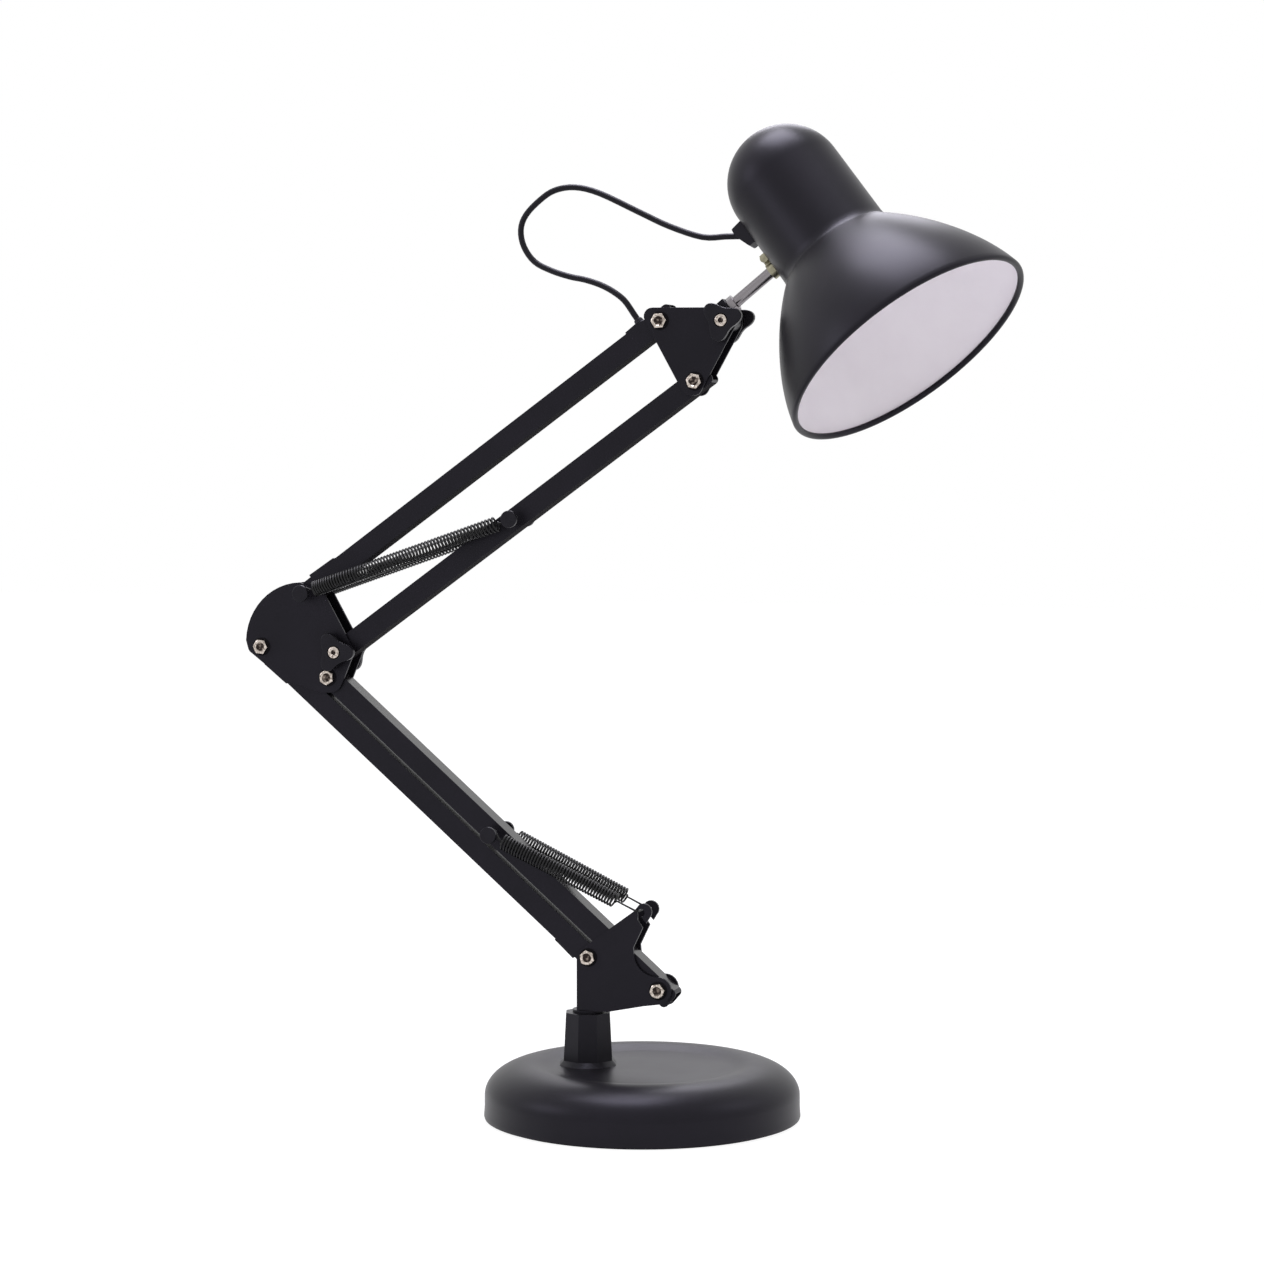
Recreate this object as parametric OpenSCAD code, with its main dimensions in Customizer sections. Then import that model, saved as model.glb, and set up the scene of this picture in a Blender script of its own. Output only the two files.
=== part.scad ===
// Accordion desk lamp: weighted round base, two sprung parallel-bar arms and a spun metal shade.
// Millimetres, +Z up, origin at the centre of the base's underside, arms in the XZ plane, head toward +X.

/* [Base] */
// Outer diameter of the base cover
base_d = 185; // [180:1:200]
// Height of the base cover's crest above the table
base_h = 32; // [31:0.5:36]
// Diameter of the raised crest round the dished top
crest_d = 132; // [126:1:140]
// Depth of the dish below the crest
dish_depth = 2.5; // [1.5:0.1:3.5]
// Height of the cover's upright side wall
side_h = 14; // [12:0.5:16]
// Sheet thickness of the base cover
cover_t = 1.2; // [0.8:0.1:1.6]
// Thickness of the foam pad under the base
pad_t = 2; // [1.5:0.1:3]
// Thickness of the steel bottom plate
floor_t = 1.2; // [1:0.1:2]
// Thickness of the cast weight inside the cover
weight_t = 12; // [9:0.5:14]
// Distance from the base's centre to the swivel axis
swivel_off = 33.4; // [30:0.2:38]

/* [Collar] */
// Height of the eight-sided collar above the dish
collar_h = 31; // [28:0.5:36]
// Width across flats at the collar's top
collar_top_w = 25.6; // [24:0.2:28]
// Width across flats at the collar's foot
collar_foot_w = 28.6; // [28:0.2:32]
// Width of the flared skirt round the foot
skirt_w = 33; // [31:0.5:37]
// Diameter of the swivel post
post_d = 12; // [10:0.5:13]
// Length of the post inside the collar
post_l = 13; // [10:0.5:14]

/* [Arms] */
// Distance between the pivots of every bar
bar_l = 272.6; // [250:0.5:290]
// Depth of a bar in the plane of the arms
bar_depth = 12.5; // [11.5:0.1:12.6]
// Width of a bar across the arms
bar_w = 12; // [11:0.5:14]
// Wall of the square bar
bar_wall = 1; // [0.8:0.1:1.4]
// Length of a bar past its outer pivot
bar_tail = 9.5; // [7:0.5:11]
// Angle of the lower bars above +X
lower_angle = 139.2; // [130:0.2:140]
// Angle of the upper bars above +X
upper_angle = 35.8; // [20:0.2:50]

/* [Brackets] */
// Thickness of the bracket plates
plate_t = 1.5; // [1.2:0.1:2]
// Gap between a bar's side and the plate beside it
side_gap = 0.3; // [0.2:0.05:0.4]
// Height of the rear lower pivot above the collar's top
pivot_rise = 33.2; // [31:0.2:36]
// Diameter of the pivot bolts
bolt_d = 5; // [4:0.1:5.5]
// Radial running clearance at every pivot
run_gap = 0.05; // [0.03:0.01:0.08]

/* [Springs] */
// Outer diameter of the springs
spring_d = 9.6; // [8:0.1:10]
// Diameter of the spring wire
wire_d = 1.2; // [1:0.1:1.4]
// Number of turns drawn in each spring
spring_turns = 14; // [12:1:14]
// Diameter of the spring pins
pin_d = 5; // [4:0.1:5.5]
// Diameter of the caps on the spring pins
cap_d = 10; // [9:0.5:12]

/* [Head] */
// Angle of the head rod above +X
rod_angle = 39; // [30:1:45]
// Diameter of the head rod
rod_d = 6.6; // [6:0.1:7]
// Length of bare rod between its nut and the shade
rod_bare_l = 30; // [26:0.5:34]
// Distance of the rod's axis from the clamp pivot
rod_off = 5.3; // [5.2:0.1:6]
// Turn of the shade about the rod
shade_turn = -11.7; // [-30:0.1:30]

/* [Shade] */
// Diameter of the shade at its rim
rim_d = 154; // [148:1:162]
// Outer radius of the shade's neck
neck_r = 33.9; // [32.5:0.1:35.5]
// Distance from the rim up to the rod
rim_drop = 91.3; // [90:0.1:96]
// Distance from the rod up to the start of the dome
dome_rise = 35.5; // [34:0.1:38]
// Depth of the bell from the rim to the neck
bell_h = 78; // [74:0.5:78]
// Wall of the shade
shade_t = 1; // [0.8:0.1:1.2]
// Radius of the rolled bead round the rim
bead_r = 1.8; // [1.5:0.1:2.2]

/* [Knobs] */
// Distance from a knob's centre to its corners
knob_r = 12.5; // [11:0.1:12.8]
// Distance from a knob's centre to its hollow sides
knob_waist_r = 7.4; // [6.5:0.1:8.5]
// Thickness of a knob's grip
grip_t = 3.9; // [3:0.1:5]

/* [Lead] */
// Diameter of the lead
lead_d = 3.6; // [3.2:0.1:3.8]

/* [Hidden] */
$fn = 48;

// Clearance of parts that are assembled and stay put
fit_gap = 0.05;
black = "#222226";
black_plastic = "#1a1a1c";
nickel = "#cfc6bd";
steel = "#b9bcc0";

// Levels in the base
base_r = base_d / 2;
crest_r = crest_d / 2;
dish_z = base_h - dish_depth;
floor_z = pad_t + floor_t;
weight_z = floor_z + weight_t;
collar_z = dish_z + collar_h;
web_z = collar_z + 1.7;

// Layout across the arms: bars, plates, fasteners and springs, as distances from the middle plane
plate_in = bar_w / 2 + side_gap;
plate_out = plate_in + plate_t;
nut_flange_t = 0.6;
nut_h = 2.4;
nut_out = plate_out + nut_flange_t + nut_h;
head_h = 2.8;
grip_in = plate_out + 3.8;
grip_out = grip_in + grip_t;
spring_y = plate_out + spring_d / 2 + 0.3;
cap_in = spring_y + wire_d / 2 + 0.9;
cap_out = cap_in + 2.4;

// Pivots in the XZ plane: a, b are the lower bars, c, d the upper bars, 1 the lower and 2 the upper end
function along(angle, s) = s * [cos(angle), sin(angle)];
lower_dir = along(lower_angle, 1);
upper_dir = along(upper_angle, 1);
pivot_a1 = [-swivel_off + 2.7, collar_z + pivot_rise];
pivot_b1 = pivot_a1 + [42.8, -17.6];
pivot_a2 = pivot_a1 + bar_l * lower_dir;
pivot_b2 = pivot_b1 + bar_l * lower_dir;
pivot_c1 = pivot_a2 + [28.7, 32.5];
pivot_d1 = pivot_c1 + [21, -34.7];
pivot_c2 = pivot_c1 + bar_l * upper_dir;
pivot_d2 = pivot_d1 + bar_l * upper_dir;
pivot_e = pivot_c2 + [38.6, -0.4];
lower_pin_at = pivot_b1 + 0.494 * bar_l * lower_dir;
upper_pin_at = pivot_d1 + 0.501 * bar_l * upper_dir;
hook_eye = [32.3, 27.6];
hook_at = pivot_a1 + hook_eye;
hook_in_r = 2.3;
hook_out_r = 4.9;

// Head: the rod starts in the block and ends inside the neck
block_l = 6.5;
block_h = 11;
rod_nut_h = 4;
rod_nut_r = 5.4;
rod_sink = 3.5;
wall_s = block_l + rod_nut_h + rod_bare_l;
rod_end = 8;
strap_x = neck_r - sqrt(pow(neck_r - shade_t, 2) - pow(8, 2)) + 0.06;
strap_t = 1.5;
leg_z = dome_rise - 1.5 - strap_t;

// Lead: where it enters the upper bar, from that bar's outer pivot, and the height of its bush
entry_back = 12;
bush_h = 4;
exit_z = dish_z + 13.5;
exit_l = 22;
rear_turn = 17.6;

// ---- shapes used by several sub-parts ----

function unit(v) = v / norm(v);
function xyz(p, y) = [p[0], y, p[1]];

// Arc points from one angle to another
function arc(c, r, a0, a1, n) = [for (i = [0:n]) c + r * [cos(a0 + (a1 - a0) * i / n), sin(a0 + (a1 - a0) * i / n)]];

// One corner of an outline, [x, y, radius], rounded by an arc that touches both sides
function corner(p, q, s) = let(
        b = [q[0], q[1]],
        u = unit([p[0], p[1]] - b),
        w = unit([s[0], s[1]] - b),
        half = acos(max(-1, min(1, u * w))) / 2,
        r = q[2])
    r <= 0 ? [b] : let(
        c = b + unit(u + w) * r / sin(half),
        t0 = b + u * r / tan(half) - c,
        t1 = b + w * r / tan(half) - c,
        a0 = atan2(t0[1], t0[0]),
        turn = atan2(t0[0] * t1[1] - t0[1] * t1[0], t0 * t1))
    arc(c, r, a0, a0 + turn, 6);

function rounded(pts) = let(n = len(pts))
    [for (i = [0:n - 1]) each corner(pts[(i + n - 1) % n], pts[i], pts[(i + 1) % n])];

// A flat XZ outline given thickness along Y, from y0 up to y0 + t
module slab(y0, t) translate([0, y0 + t, 0]) rotate([90, 0, 0]) linear_extrude(t) children();

// A rod along Y between two distances from the middle plane, at a point of the XZ plane
module rod_y(p, r, y0, y1) translate([p[0], y1, p[1]]) rotate([90, 0, 0]) cylinder(h = y1 - y0, r = r);

// Copies on the near side (-Y) and the far side (+Y)
module both_sides() {
    children();
    mirror([0, 1, 0]) children();
}

// Closed tube through rings of points
module sweep(rings) {
    m = len(rings);
    n = len(rings[0]);
    walls = [for (i = [0:m - 2], k = [0:n - 1]) let(a = i * n + k, b = i * n + (k + 1) % n)
        each [[a, b + n, b], [a, a + n, b + n]]];
    first = [for (k = [1:n - 2]) [0, k, k + 1]];
    last = [for (k = [1:n - 2]) [(m - 1) * n, (m - 1) * n + k + 1, (m - 1) * n + k]];
    polyhedron(points = [for (r = rings) each r], faces = concat(walls, first, last));
}

// Ring of n points about c, square to t, starting on the side that "side" points to
function ring(c, t, side, r, n) = let(
        u = unit(side - (side * t) * t),
        w = cross(t, u))
    [for (k = [0:n - 1]) c + r * cos(360 * k / n) * u + r * sin(360 * k / n) * w];

function tangent(p, i) = unit(p[min(i + 1, len(p) - 1)] - p[max(i - 1, 0)]);

// Smooth curve through chosen points, "steps" pieces to a stretch
function smooth_at(a, b, c, d, t) = 0.5 * ((2 * b) + (c - a) * t
    + (2 * a - 5 * b + 4 * c - d) * t * t + (3 * b - a - 3 * c + d) * t * t * t);
function smooth(p, steps) = let(n = len(p)) concat(
    [for (i = [0:n - 2], k = [0:steps - 1])
        smooth_at(p[max(i - 1, 0)], p[i], p[i + 1], p[min(i + 2, n - 1)], k / steps)],
    [p[n - 1]]);

// A lead along a path, with eight sides
module lead_tube(path, side) color(black_plastic)
    sweep([for (i = [0:len(path) - 1]) ring(path[i], tangent(path, i), side, lead_d / 2, 8)]);

// ---- base ----

function shoulder(inset) = [for (a = [0:9:90])
    [crest_r + (base_r - crest_r - inset) * cos(a), side_h + (base_h - side_h - inset) * sin(a)]];
function dish(inset) = [for (i = [1:5])
    [crest_r - i * 1.2, dish_z - inset + dish_depth * (0.5 + 0.5 * cos(36 * i))]];
module cover_section(inset, z0)
    polygon(concat([[0, z0], [base_r - inset, z0]], shoulder(inset), dish(inset), [[0, dish_z - inset]]));

module base_shell() color(black) difference() {
    rotate_extrude($fn = 96) difference() {
        cover_section(0, pad_t / 2);
        cover_section(cover_t, -1);
    }
    translate([-swivel_off, 0, dish_z - cover_t - 1]) cylinder(h = cover_t + 2, r = 4 + fit_gap);
}

weight_r = base_r - cover_t - 6;
boss_r = 15;
module base_weight() color("#4a4a4c") difference() {
    union() {
        translate([0, 0, floor_z]) cylinder(h = weight_t, r = weight_r, $fn = 96);
        translate([-swivel_off, 0, floor_z]) cylinder(h = dish_z - cover_t - floor_z, r = boss_r);
    }
    translate([-swivel_off, 0, floor_z - 1]) cylinder(h = base_h, r = 4 + fit_gap);
    translate([-swivel_off, 0, floor_z - 1]) cylinder(h = 7, r = 9);
    base_screw_holes(screw_r + fit_gap, weight_z + 1);
}

screw_circle_r = 58;
screw_r = 1.65;
screw_bite = 8;
module base_screw_holes(r, top)
    for (a = [30:120:270]) rotate(a) translate([screw_circle_r, 0, -1]) cylinder(h = top + 1, r = r);

module base_plate() color("#55565a") difference() {
    translate([0, 0, pad_t]) cylinder(h = floor_t, r = base_r - cover_t - 0.3, $fn = 96);
    base_screw_holes(screw_r + 0.3, floor_z + 1);
}

pad_r = base_r - 3.5;
module base_pad() color("#2c2c2e") difference() {
    cylinder(h = pad_t, r = pad_r, $fn = 96);
    base_screw_holes(4.5, pad_t + 1);
}

module base_screws() color(steel) for (a = [30:120:270]) rotate(a) translate([screw_circle_r, 0, 0]) {
    translate([0, 0, 0.4]) cylinder(h = pad_t - 0.4, r = 3.8);
    translate([0, 0, pad_t]) cylinder(h = floor_t + screw_bite, r = screw_r);
}

module octagon(h, w1, w2) rotate(22.5 + rear_turn)
    cylinder(h = h, r1 = w1 / 2 / cos(22.5), r2 = w2 / 2 / cos(22.5), $fn = 8);

cavity_z = dish_z + 8;
module collar() color(black_plastic) translate([-swivel_off, 0, 0]) difference() {
    union() {
        translate([0, 0, dish_z]) octagon(collar_h, collar_foot_w, collar_top_w);
        translate([0, 0, dish_z]) octagon(3, skirt_w, collar_foot_w - 0.4);
    }
    translate([0, 0, cavity_z]) cylinder(h = collar_h, r = post_d / 2 + run_gap);
    translate([0, 0, dish_z - 1]) cylinder(h = 8, r = 4 + fit_gap);
    translate([0, 0, exit_z]) rotate([-90, 0, rear_turn]) cylinder(h = skirt_w, r = exit_r + fit_gap);
}

module collar_bolt() color(steel) translate([-swivel_off, 0, 0]) {
    translate([0, 0, floor_z + 1]) cylinder(h = 5, r = 7.5, $fn = 6);
    translate([0, 0, floor_z + 6]) cylinder(h = dish_z - floor_z, r = 4);
}

// ---- mains lead: strain relief, free stretch, put-away coil and plug ----

exit_r = 3.4;
// The frame of the lead behind the base: x across, y away from the base's front
module rear_frame() rotate(rear_turn) children();
function rear(p) = [p[0] * cos(rear_turn) - p[1] * sin(rear_turn),
    p[0] * sin(rear_turn) + p[1] * cos(rear_turn), p[2]];

module lead_exit() color(black_plastic) translate([-swivel_off, 0, exit_z]) rotate([-90, 0, rear_turn])
    translate([0, 0, post_d / 2 + 1]) difference() {
        union() {
            cylinder(h = 8, r = exit_r);
            translate([0, 0, 8]) cylinder(h = exit_l - 8, r1 = exit_r, r2 = lead_d / 2 + 0.6);
        }
        translate([0, 0, -1]) cylinder(h = exit_l + 2, r = lead_d / 2 + fit_gap);
    }

// The free stretch from the relief over the base's rear edge to the coil
tail_points = [[-31.8, 20, 43], [-31.8, 30, 43], [-31.8, 39.5, 43], [-31.8, 43, 43], [-32, 51, 41.8],
    [-33, 59, 38.6], [-34, 68, 36], [-36, 77, 33], [-38, 86, 27.5], [-40, 93, 20], [-42, 98, 12], [-43.5, 103, 5.6],
    [-44.4, 109, 2.4], [-44.5, 115, 1.9], [-44.5, 120.9, 1.8]];
tail_path = smooth([for (p = tail_points) rear(p)], 2);
module lead_tail() lead_tube(tail_path, rear([1, 0, 0]));

// The put-away coil winds in and out in four layers of three loops
coil_at = [-17.5, 120.9];
coil_out_r = 27;
coil_step = lead_d + 0.5;
coil_rise = lead_d + 0.45;
layer_turns = 3;
loop_rings = 15;
coil_turns = 12.25;
// Radius and height of the coil's centre line after a number of turns
function coil_r(turn) = let(layer = min(3, floor(turn / layer_turns)), p = turn - layer * layer_turns)
    layer % 2 == 0 ? coil_out_r - p * coil_step : coil_out_r - (layer_turns - p) * coil_step;
function climb(x) = max(0, min(1, 2 * x + 0.5));
function coil_z(turn) = lead_d / 2 + coil_rise * (climb(turn - layer_turns)
    + climb(turn - 2 * layer_turns) + climb(turn - 3 * layer_turns));
function coil_point(turn) = [coil_at[0] - coil_r(turn) * cos(360 * turn),
    coil_at[1] + coil_r(turn) * sin(360 * turn), coil_z(turn)];
plug_points = [[-8, 149.4, 14.1], [1.5, 150.7, 13.4], [10, 153, 11.2], [18.5, 155.4, 8.8], [27, 156, 7.3],
    [35, 153.8, 6.9], [40, 148.5, 6.85], [41.4, 143.5, 6.85], [41.4, 141, 6.85]];
coil_path = [for (p = concat([for (i = [0:coil_turns * loop_rings]) coil_point(i / loop_rings)],
    smooth(plug_points, 2))) rear(p)];
module lead_coil() color(black_plastic) sweep([for (i = [0:len(coil_path) - 1])
    ring(coil_path[i], tangent(coil_path, i), [0, 0, 1], lead_d / 2, 6)]);
coil_gap = least_gap(coil_path, 6, lead_d);

plug_at = [41.4, 141, 6.85];
plug_dir = -90;
plug_l = 34;
plug_w = 35.3;
plug_h = 13.7;
pin_gap = 18.6;
module plug_frame() translate(rear(plug_at)) rotate(rear_turn + plug_dir) children();
module plug_body() color(black_plastic) plug_frame() difference() {
    translate([0, 0, -plug_h / 2]) linear_extrude(plug_h) polygon(rounded([
        [0, 3, 1], [0, -3, 1], [9, -4.5, 3], [17, -plug_w / 2, 4], [plug_l, -plug_w / 2 + 3, 2],
        [plug_l, plug_w / 2 - 3, 2], [17, plug_w / 2, 4], [9, 4.5, 3]]));
    for (s = [-1, 1]) translate([plug_l - 10, s * pin_gap / 2, 0]) rotate([0, 90, 0])
        cylinder(h = 11, r = 2 + fit_gap);
}
module plug_pins() color(nickel) plug_frame()
    for (s = [-1, 1]) translate([plug_l - 10, s * pin_gap / 2, 0]) rotate([0, 90, 0]) cylinder(h = 29, r = 2);

// ---- pivots ----

bolt_r = bolt_d / 2;
nut_w = 8;
module bolts(points) color(steel) for (p = points) {
    rod_y(p, bolt_r, -nut_out + 0.6, plate_out + 0.4);
    rod_y(p, 4.3, plate_out, plate_out + head_h);
}
module nuts(points) color(nickel) for (p = points) difference() {
    union() {
        rod_y(p, 5.4, -plate_out - nut_flange_t, -plate_out);
        translate([p[0], -plate_out, p[1]]) rotate([90, 15, 0])
            cylinder(h = nut_flange_t + nut_h, r = nut_w / 2 / cos(30), $fn = 6);
    }
    rod_y(p, bolt_r + fit_gap, -nut_out - 1, 0);
}
// ---- lower bracket ----

lower_outline = concat(
    rounded_part([[-7.1, web_z - pivot_a1[1]], [12, web_z - pivot_a1[1], 0.5], [34, -27]]),
    arc(pivot_b1 - pivot_a1, 8, -82, 95, 10),
    arc(pivot_b1 - pivot_a1 + [-1.3, 21.6], 13.6, 268, 182, 8),
    rounded_part([[27.6, 7], [33.3, 18.8, 0.8], [30.2, 23.4]]),
    arc(hook_eye, hook_in_r, 210, -90, 12),
    [hook_eye + [3.2, -6]],
    arc(hook_eye + [1.6, 0.6], hook_out_r, -45, 125, 10),
    rounded_part([[27.9, 28.3], [-7.1, 2.6, 6.5], [-7.1, -8]]));
// Rounds each given corner against its neighbours; the first and last of a run stay sharp enough
function rounded_part(pts) = let(n = len(pts)) [for (i = [0:n - 1])
    each (i == 0 || i == n - 1) ? [[pts[i][0], pts[i][1]]] : corner(pts[i - 1], pts[i], pts[i + 1])];
module lower_plate_outline() translate(pivot_a1) difference() {
    polygon(lower_outline);
    circle(r = bolt_r + 0.1);
    translate(pivot_b1 - pivot_a1) circle(r = bolt_r + 0.1);
}
module lower_bracket() color(black) difference() {
    union() {
        both_sides() slab(plate_in, plate_t) lower_plate_outline();
        translate([pivot_a1[0] - 7.1, -plate_in - 0.5, web_z]) cube([19.1, 2 * plate_in + 1, plate_t]);
    }
    translate([-swivel_off, 0, web_z - 1]) cylinder(h = 4, r = post_bore_r);
}

post_bore_r = 3;
module swivel_post() color(steel) translate([-swivel_off, 0, 0]) difference() {
    union() {
        translate([0, 0, collar_z - post_l]) cylinder(h = post_l + 1, r = post_d / 2);
        translate([0, 0, collar_z]) cylinder(h = web_z - collar_z, r = 9);
    }
    translate([0, 0, collar_z - post_l - 1]) cylinder(h = post_l + 5, r = post_bore_r);
}

module lower_bolts() bolts([pivot_a1, pivot_b1]);
module lower_nuts() nuts([pivot_a1, pivot_b1]);

// ---- bars ----

// A square bar along +X from its first pivot: tail0 and tail1 are its lengths past the pivots
module bar(tail0, tail1, holes) {
    half = bar_depth / 2;
    r0 = tail0 > half ? 3 : half - 0.01;
    r1 = tail1 > half ? 3 : half - 0.01;
    difference() {
        slab(-bar_w / 2, bar_w) polygon(rounded([[-tail0, -half, r0], [bar_l + tail1, -half, r1],
            [bar_l + tail1, half, r1], [-tail0, half, r0]]));
        translate([-tail0 - 1, -bar_w / 2 + bar_wall, -half + bar_wall])
            cube([bar_l + tail0 + tail1 + 2, bar_w - 2 * bar_wall, bar_depth - 2 * bar_wall]);
        for (x = [0, bar_l]) rod_y([x, 0], bolt_r + run_gap, -bar_w, bar_w);
        for (x = holes) rod_y([x, 0], pin_d / 2 + fit_gap, -bar_w, bar_w);
    }
}
module lay(p, angle) translate(xyz(p, 0)) rotate([0, -angle, 0]) children();
lead_hole_r = lead_d / 2 + 0.8;
module lower_bar_rear() color(black) lay(pivot_a1, lower_angle) bar(bar_tail, bar_depth / 2, []);
module lower_bar_front() color(black) lay(pivot_b1, lower_angle)
    bar(bar_tail, bar_depth / 2, [0.494 * bar_l]);
module upper_bar_rear() color(black) lay(pivot_c1, upper_angle) difference() {
    bar(bar_depth / 2, bar_tail, []);
    translate([bar_l - entry_back, 0, 0]) cylinder(h = bar_depth, r = lead_hole_r);
}
module upper_bar_front() color(black) lay(pivot_d1, upper_angle)
    bar(bar_depth / 2, bar_tail, [0.501 * bar_l]);

// ---- spring pins, caps and springs ----

module spring_pin(p) color(steel) rod_y(p, pin_d / 2, -cap_in - 1, cap_in + 1);
module pin_caps(p) color(black_plastic) both_sides() difference() {
    rod_y(p, cap_d / 2, cap_in, cap_out);
    rod_y(p, pin_d / 2 + fit_gap, 0, cap_in + 1);
}
module lower_spring_pin() spring_pin(lower_pin_at);
module lower_pin_caps() pin_caps(lower_pin_at);
module upper_spring_pin() spring_pin(upper_pin_at);
module upper_pin_caps() pin_caps(upper_pin_at);

// A spring's centre line in its own frame, each entry [x, y, z, side]: side 0 faces x, side 1 faces y.
// An eye goes round a pin across the spring; a peg turns sideways through the bracket's hook.
eye_r = (pin_d / 2 + wire_d / 2 + 0.06) / cos(22.5);
function eye(lead_in) = concat(
    [for (a = [135:45:360]) [eye_r * cos(a), 0, eye_r * sin(a), 1]],
    [[0.6 * eye_r, 0, 1.2 * eye_r, 1], [0.1 * eye_r, 0, 1.8 * eye_r, 1], [0, 0, lead_in, 1]]);
function peg(lead_in, reach) = [[0, -reach, 0, 0], [0, -1.4, 0, 0], [0, -0.4, 0.4, 0], [0, 0, 1.4, 0], [0, 0, lead_in, 0]];
function turned(path, l) = [for (i = [len(path) - 1:-1:0]) [-path[i][0], path[i][1], l - path[i][2], path[i][3]]];
// The turns from height z0 to z1, opening from the axis to full radius in the first half turn
function curls(z0, z1, phase, turns) = let(n = round(8 * turns)) [for (i = [1:n - 1]) let(
        a = phase + 45 * i,
        r = (spring_d - wire_d) / 2 * min(1, i / 4, (n - i) / 4))
    [r * cos(a), r * sin(a), z0 + (z1 - z0) * i / n, a]];
function spring_line(l, lead0, lead1, pegged, reach) = concat(
    pegged ? peg(lead0, reach) : eye(lead0),
    pegged ? curls(lead0, l - lead1, 0, spring_turns + 0.25) : curls(lead0, l - lead1, 90, spring_turns),
    turned(eye(lead1), l));
function side_of(s) = s == 0 ? [1, 0, 0] : s == 1 ? [0, 1, 0] : [cos(s), sin(s), 0];
module spring(a, b, line) {
    ez = unit(b - a);
    ey = unit([0, 1, 0] - (ez[1]) * ez) * sign(a[1]);
    ex = cross(ey, ez);
    pts = [for (q = line) a + q[0] * ex + q[1] * ey + q[2] * ez];
    sides = [for (q = line) let(s = side_of(q[3])) s[0] * ex + s[1] * ey];
    color("#2b2b2e") sweep([for (i = [0:len(pts) - 1]) ring(pts[i], tangent(pts, i), sides[i], wire_d / 2, 6)]);
}
// Least gap of a tube to itself, measured between points at least "skip" apart along it
function least_gap(line, skip, d) = let(n = len(line)) min([for (i = [0:n - skip - 1], j = [i + skip:n - 1])
    norm([line[i][0], line[i][1], line[i][2]] - [line[j][0], line[j][1], line[j][2]])]) - d;

lower_from = hook_at + (hook_in_r - wire_d / 2 - 0.05) * unit(lower_pin_at - hook_at);
lower_hook_y = plate_out + 1.6;
function lower_ends(s) = [xyz(lower_from, s * lower_hook_y), xyz(lower_pin_at, s * spring_y)];
function upper_ends(s) = [xyz(pivot_c1, s * spring_y), xyz(upper_pin_at, s * spring_y)];
lower_spring_l = norm(lower_ends(1)[1] - lower_ends(1)[0]);
upper_spring_l = norm(upper_ends(1)[1] - upper_ends(1)[0]);
lower_line = spring_line(lower_spring_l, 14, 9, true, plate_t + 2);
upper_line = spring_line(upper_spring_l, 8, 9, false, 0);
echo(lower_spring_gap = least_gap(lower_line, 5, wire_d), upper_spring_gap = least_gap(upper_line, 5, wire_d),
    coil_gap = coil_gap);

module lower_springs() for (s = [-1, 1]) spring(lower_ends(s)[0], lower_ends(s)[1], lower_line);
module upper_springs() for (s = [-1, 1]) spring(upper_ends(s)[0], upper_ends(s)[1], upper_line);

// ---- elbow bracket ----

elbow_arc_at = [26.2, 2.4];
elbow_arc_r = 36.5;
elbow_outline = concat(
    arc(elbow_arc_at, elbow_arc_r, 178, 92, 12),
    rounded_part([elbow_arc_at + elbow_arc_r * [cos(92), sin(92)], [40.6, 32.6, 4], [60, -1.7, 5],
        [49.5, -26.8, 8], [38, -26.8, 4], [14.4, -20, 1], [-8.5, -2.6, 4],
        elbow_arc_at + elbow_arc_r * [cos(178), sin(178)]]));
module elbow_plate_outline() translate(pivot_a2) difference() {
    polygon(elbow_outline);
    for (p = [pivot_a2, pivot_b2, pivot_c1, pivot_d1]) translate(p - pivot_a2) circle(r = bolt_r + 0.1);
}
module elbow_plate_near() color(black) slab(-plate_out, plate_t) elbow_plate_outline();
module elbow_plate_far() color(black) slab(plate_in, plate_t) elbow_plate_outline();
module elbow_bolts() bolts([pivot_a2, pivot_b2]);
module elbow_nuts() nuts([pivot_a2, pivot_b2]);
module elbow_pin() color(steel) rod_y(pivot_c1, bolt_r, -cap_in - 1, cap_in + 1);
module elbow_pin_caps() color(black_plastic) both_sides() difference() {
    rod_y(pivot_c1, cap_d / 2, cap_in, cap_out);
    rod_y(pivot_c1, bolt_r + fit_gap, 0, cap_in + 1);
}

// ---- clamp knobs ----

function lobes(turn) = [for (a = [0:7.5:352.5]) (knob_waist_r
    + (knob_r - knob_waist_r) * pow((1 + cos(3 * (a - turn))) / 2, 1.3)) * [cos(a), sin(a)]];
screw_head_r = 3.7;
module knob(p, turn) color(black_plastic) translate(xyz(p, 0)) rotate([90, 0, 0]) difference() {
    union() {
        translate([0, 0, plate_out]) cylinder(h = grip_in - plate_out, r = 6.2);
        translate([0, 0, grip_in]) linear_extrude(grip_t) polygon(lobes(turn));
    }
    cylinder(h = grip_out + 1, r = bolt_r + fit_gap);
    translate([0, 0, grip_out - 1.2]) cylinder(h = 2, r = screw_head_r + 0.2);
}
module knob_screw(p) color(nickel) difference() {
    union() {
        rod_y(p, bolt_r, -grip_out + 1, grip_out - 1.6);
        rod_y(p, screw_head_r, -grip_out - 0.3, -grip_out + 1.2);
    }
    translate(xyz(p, -grip_out - 0.5)) cube([5, 1.6, 0.9], center = true);
}
module knob_nut(p, turn) mirror([0, 1, 0]) knob(p, turn);

module elbow_knob() knob(pivot_d1, 0);
module elbow_knob_screw() knob_screw(pivot_d1);
module elbow_knob_far() knob_nut(pivot_d1, 40);

// ---- head bracket ----

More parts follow.
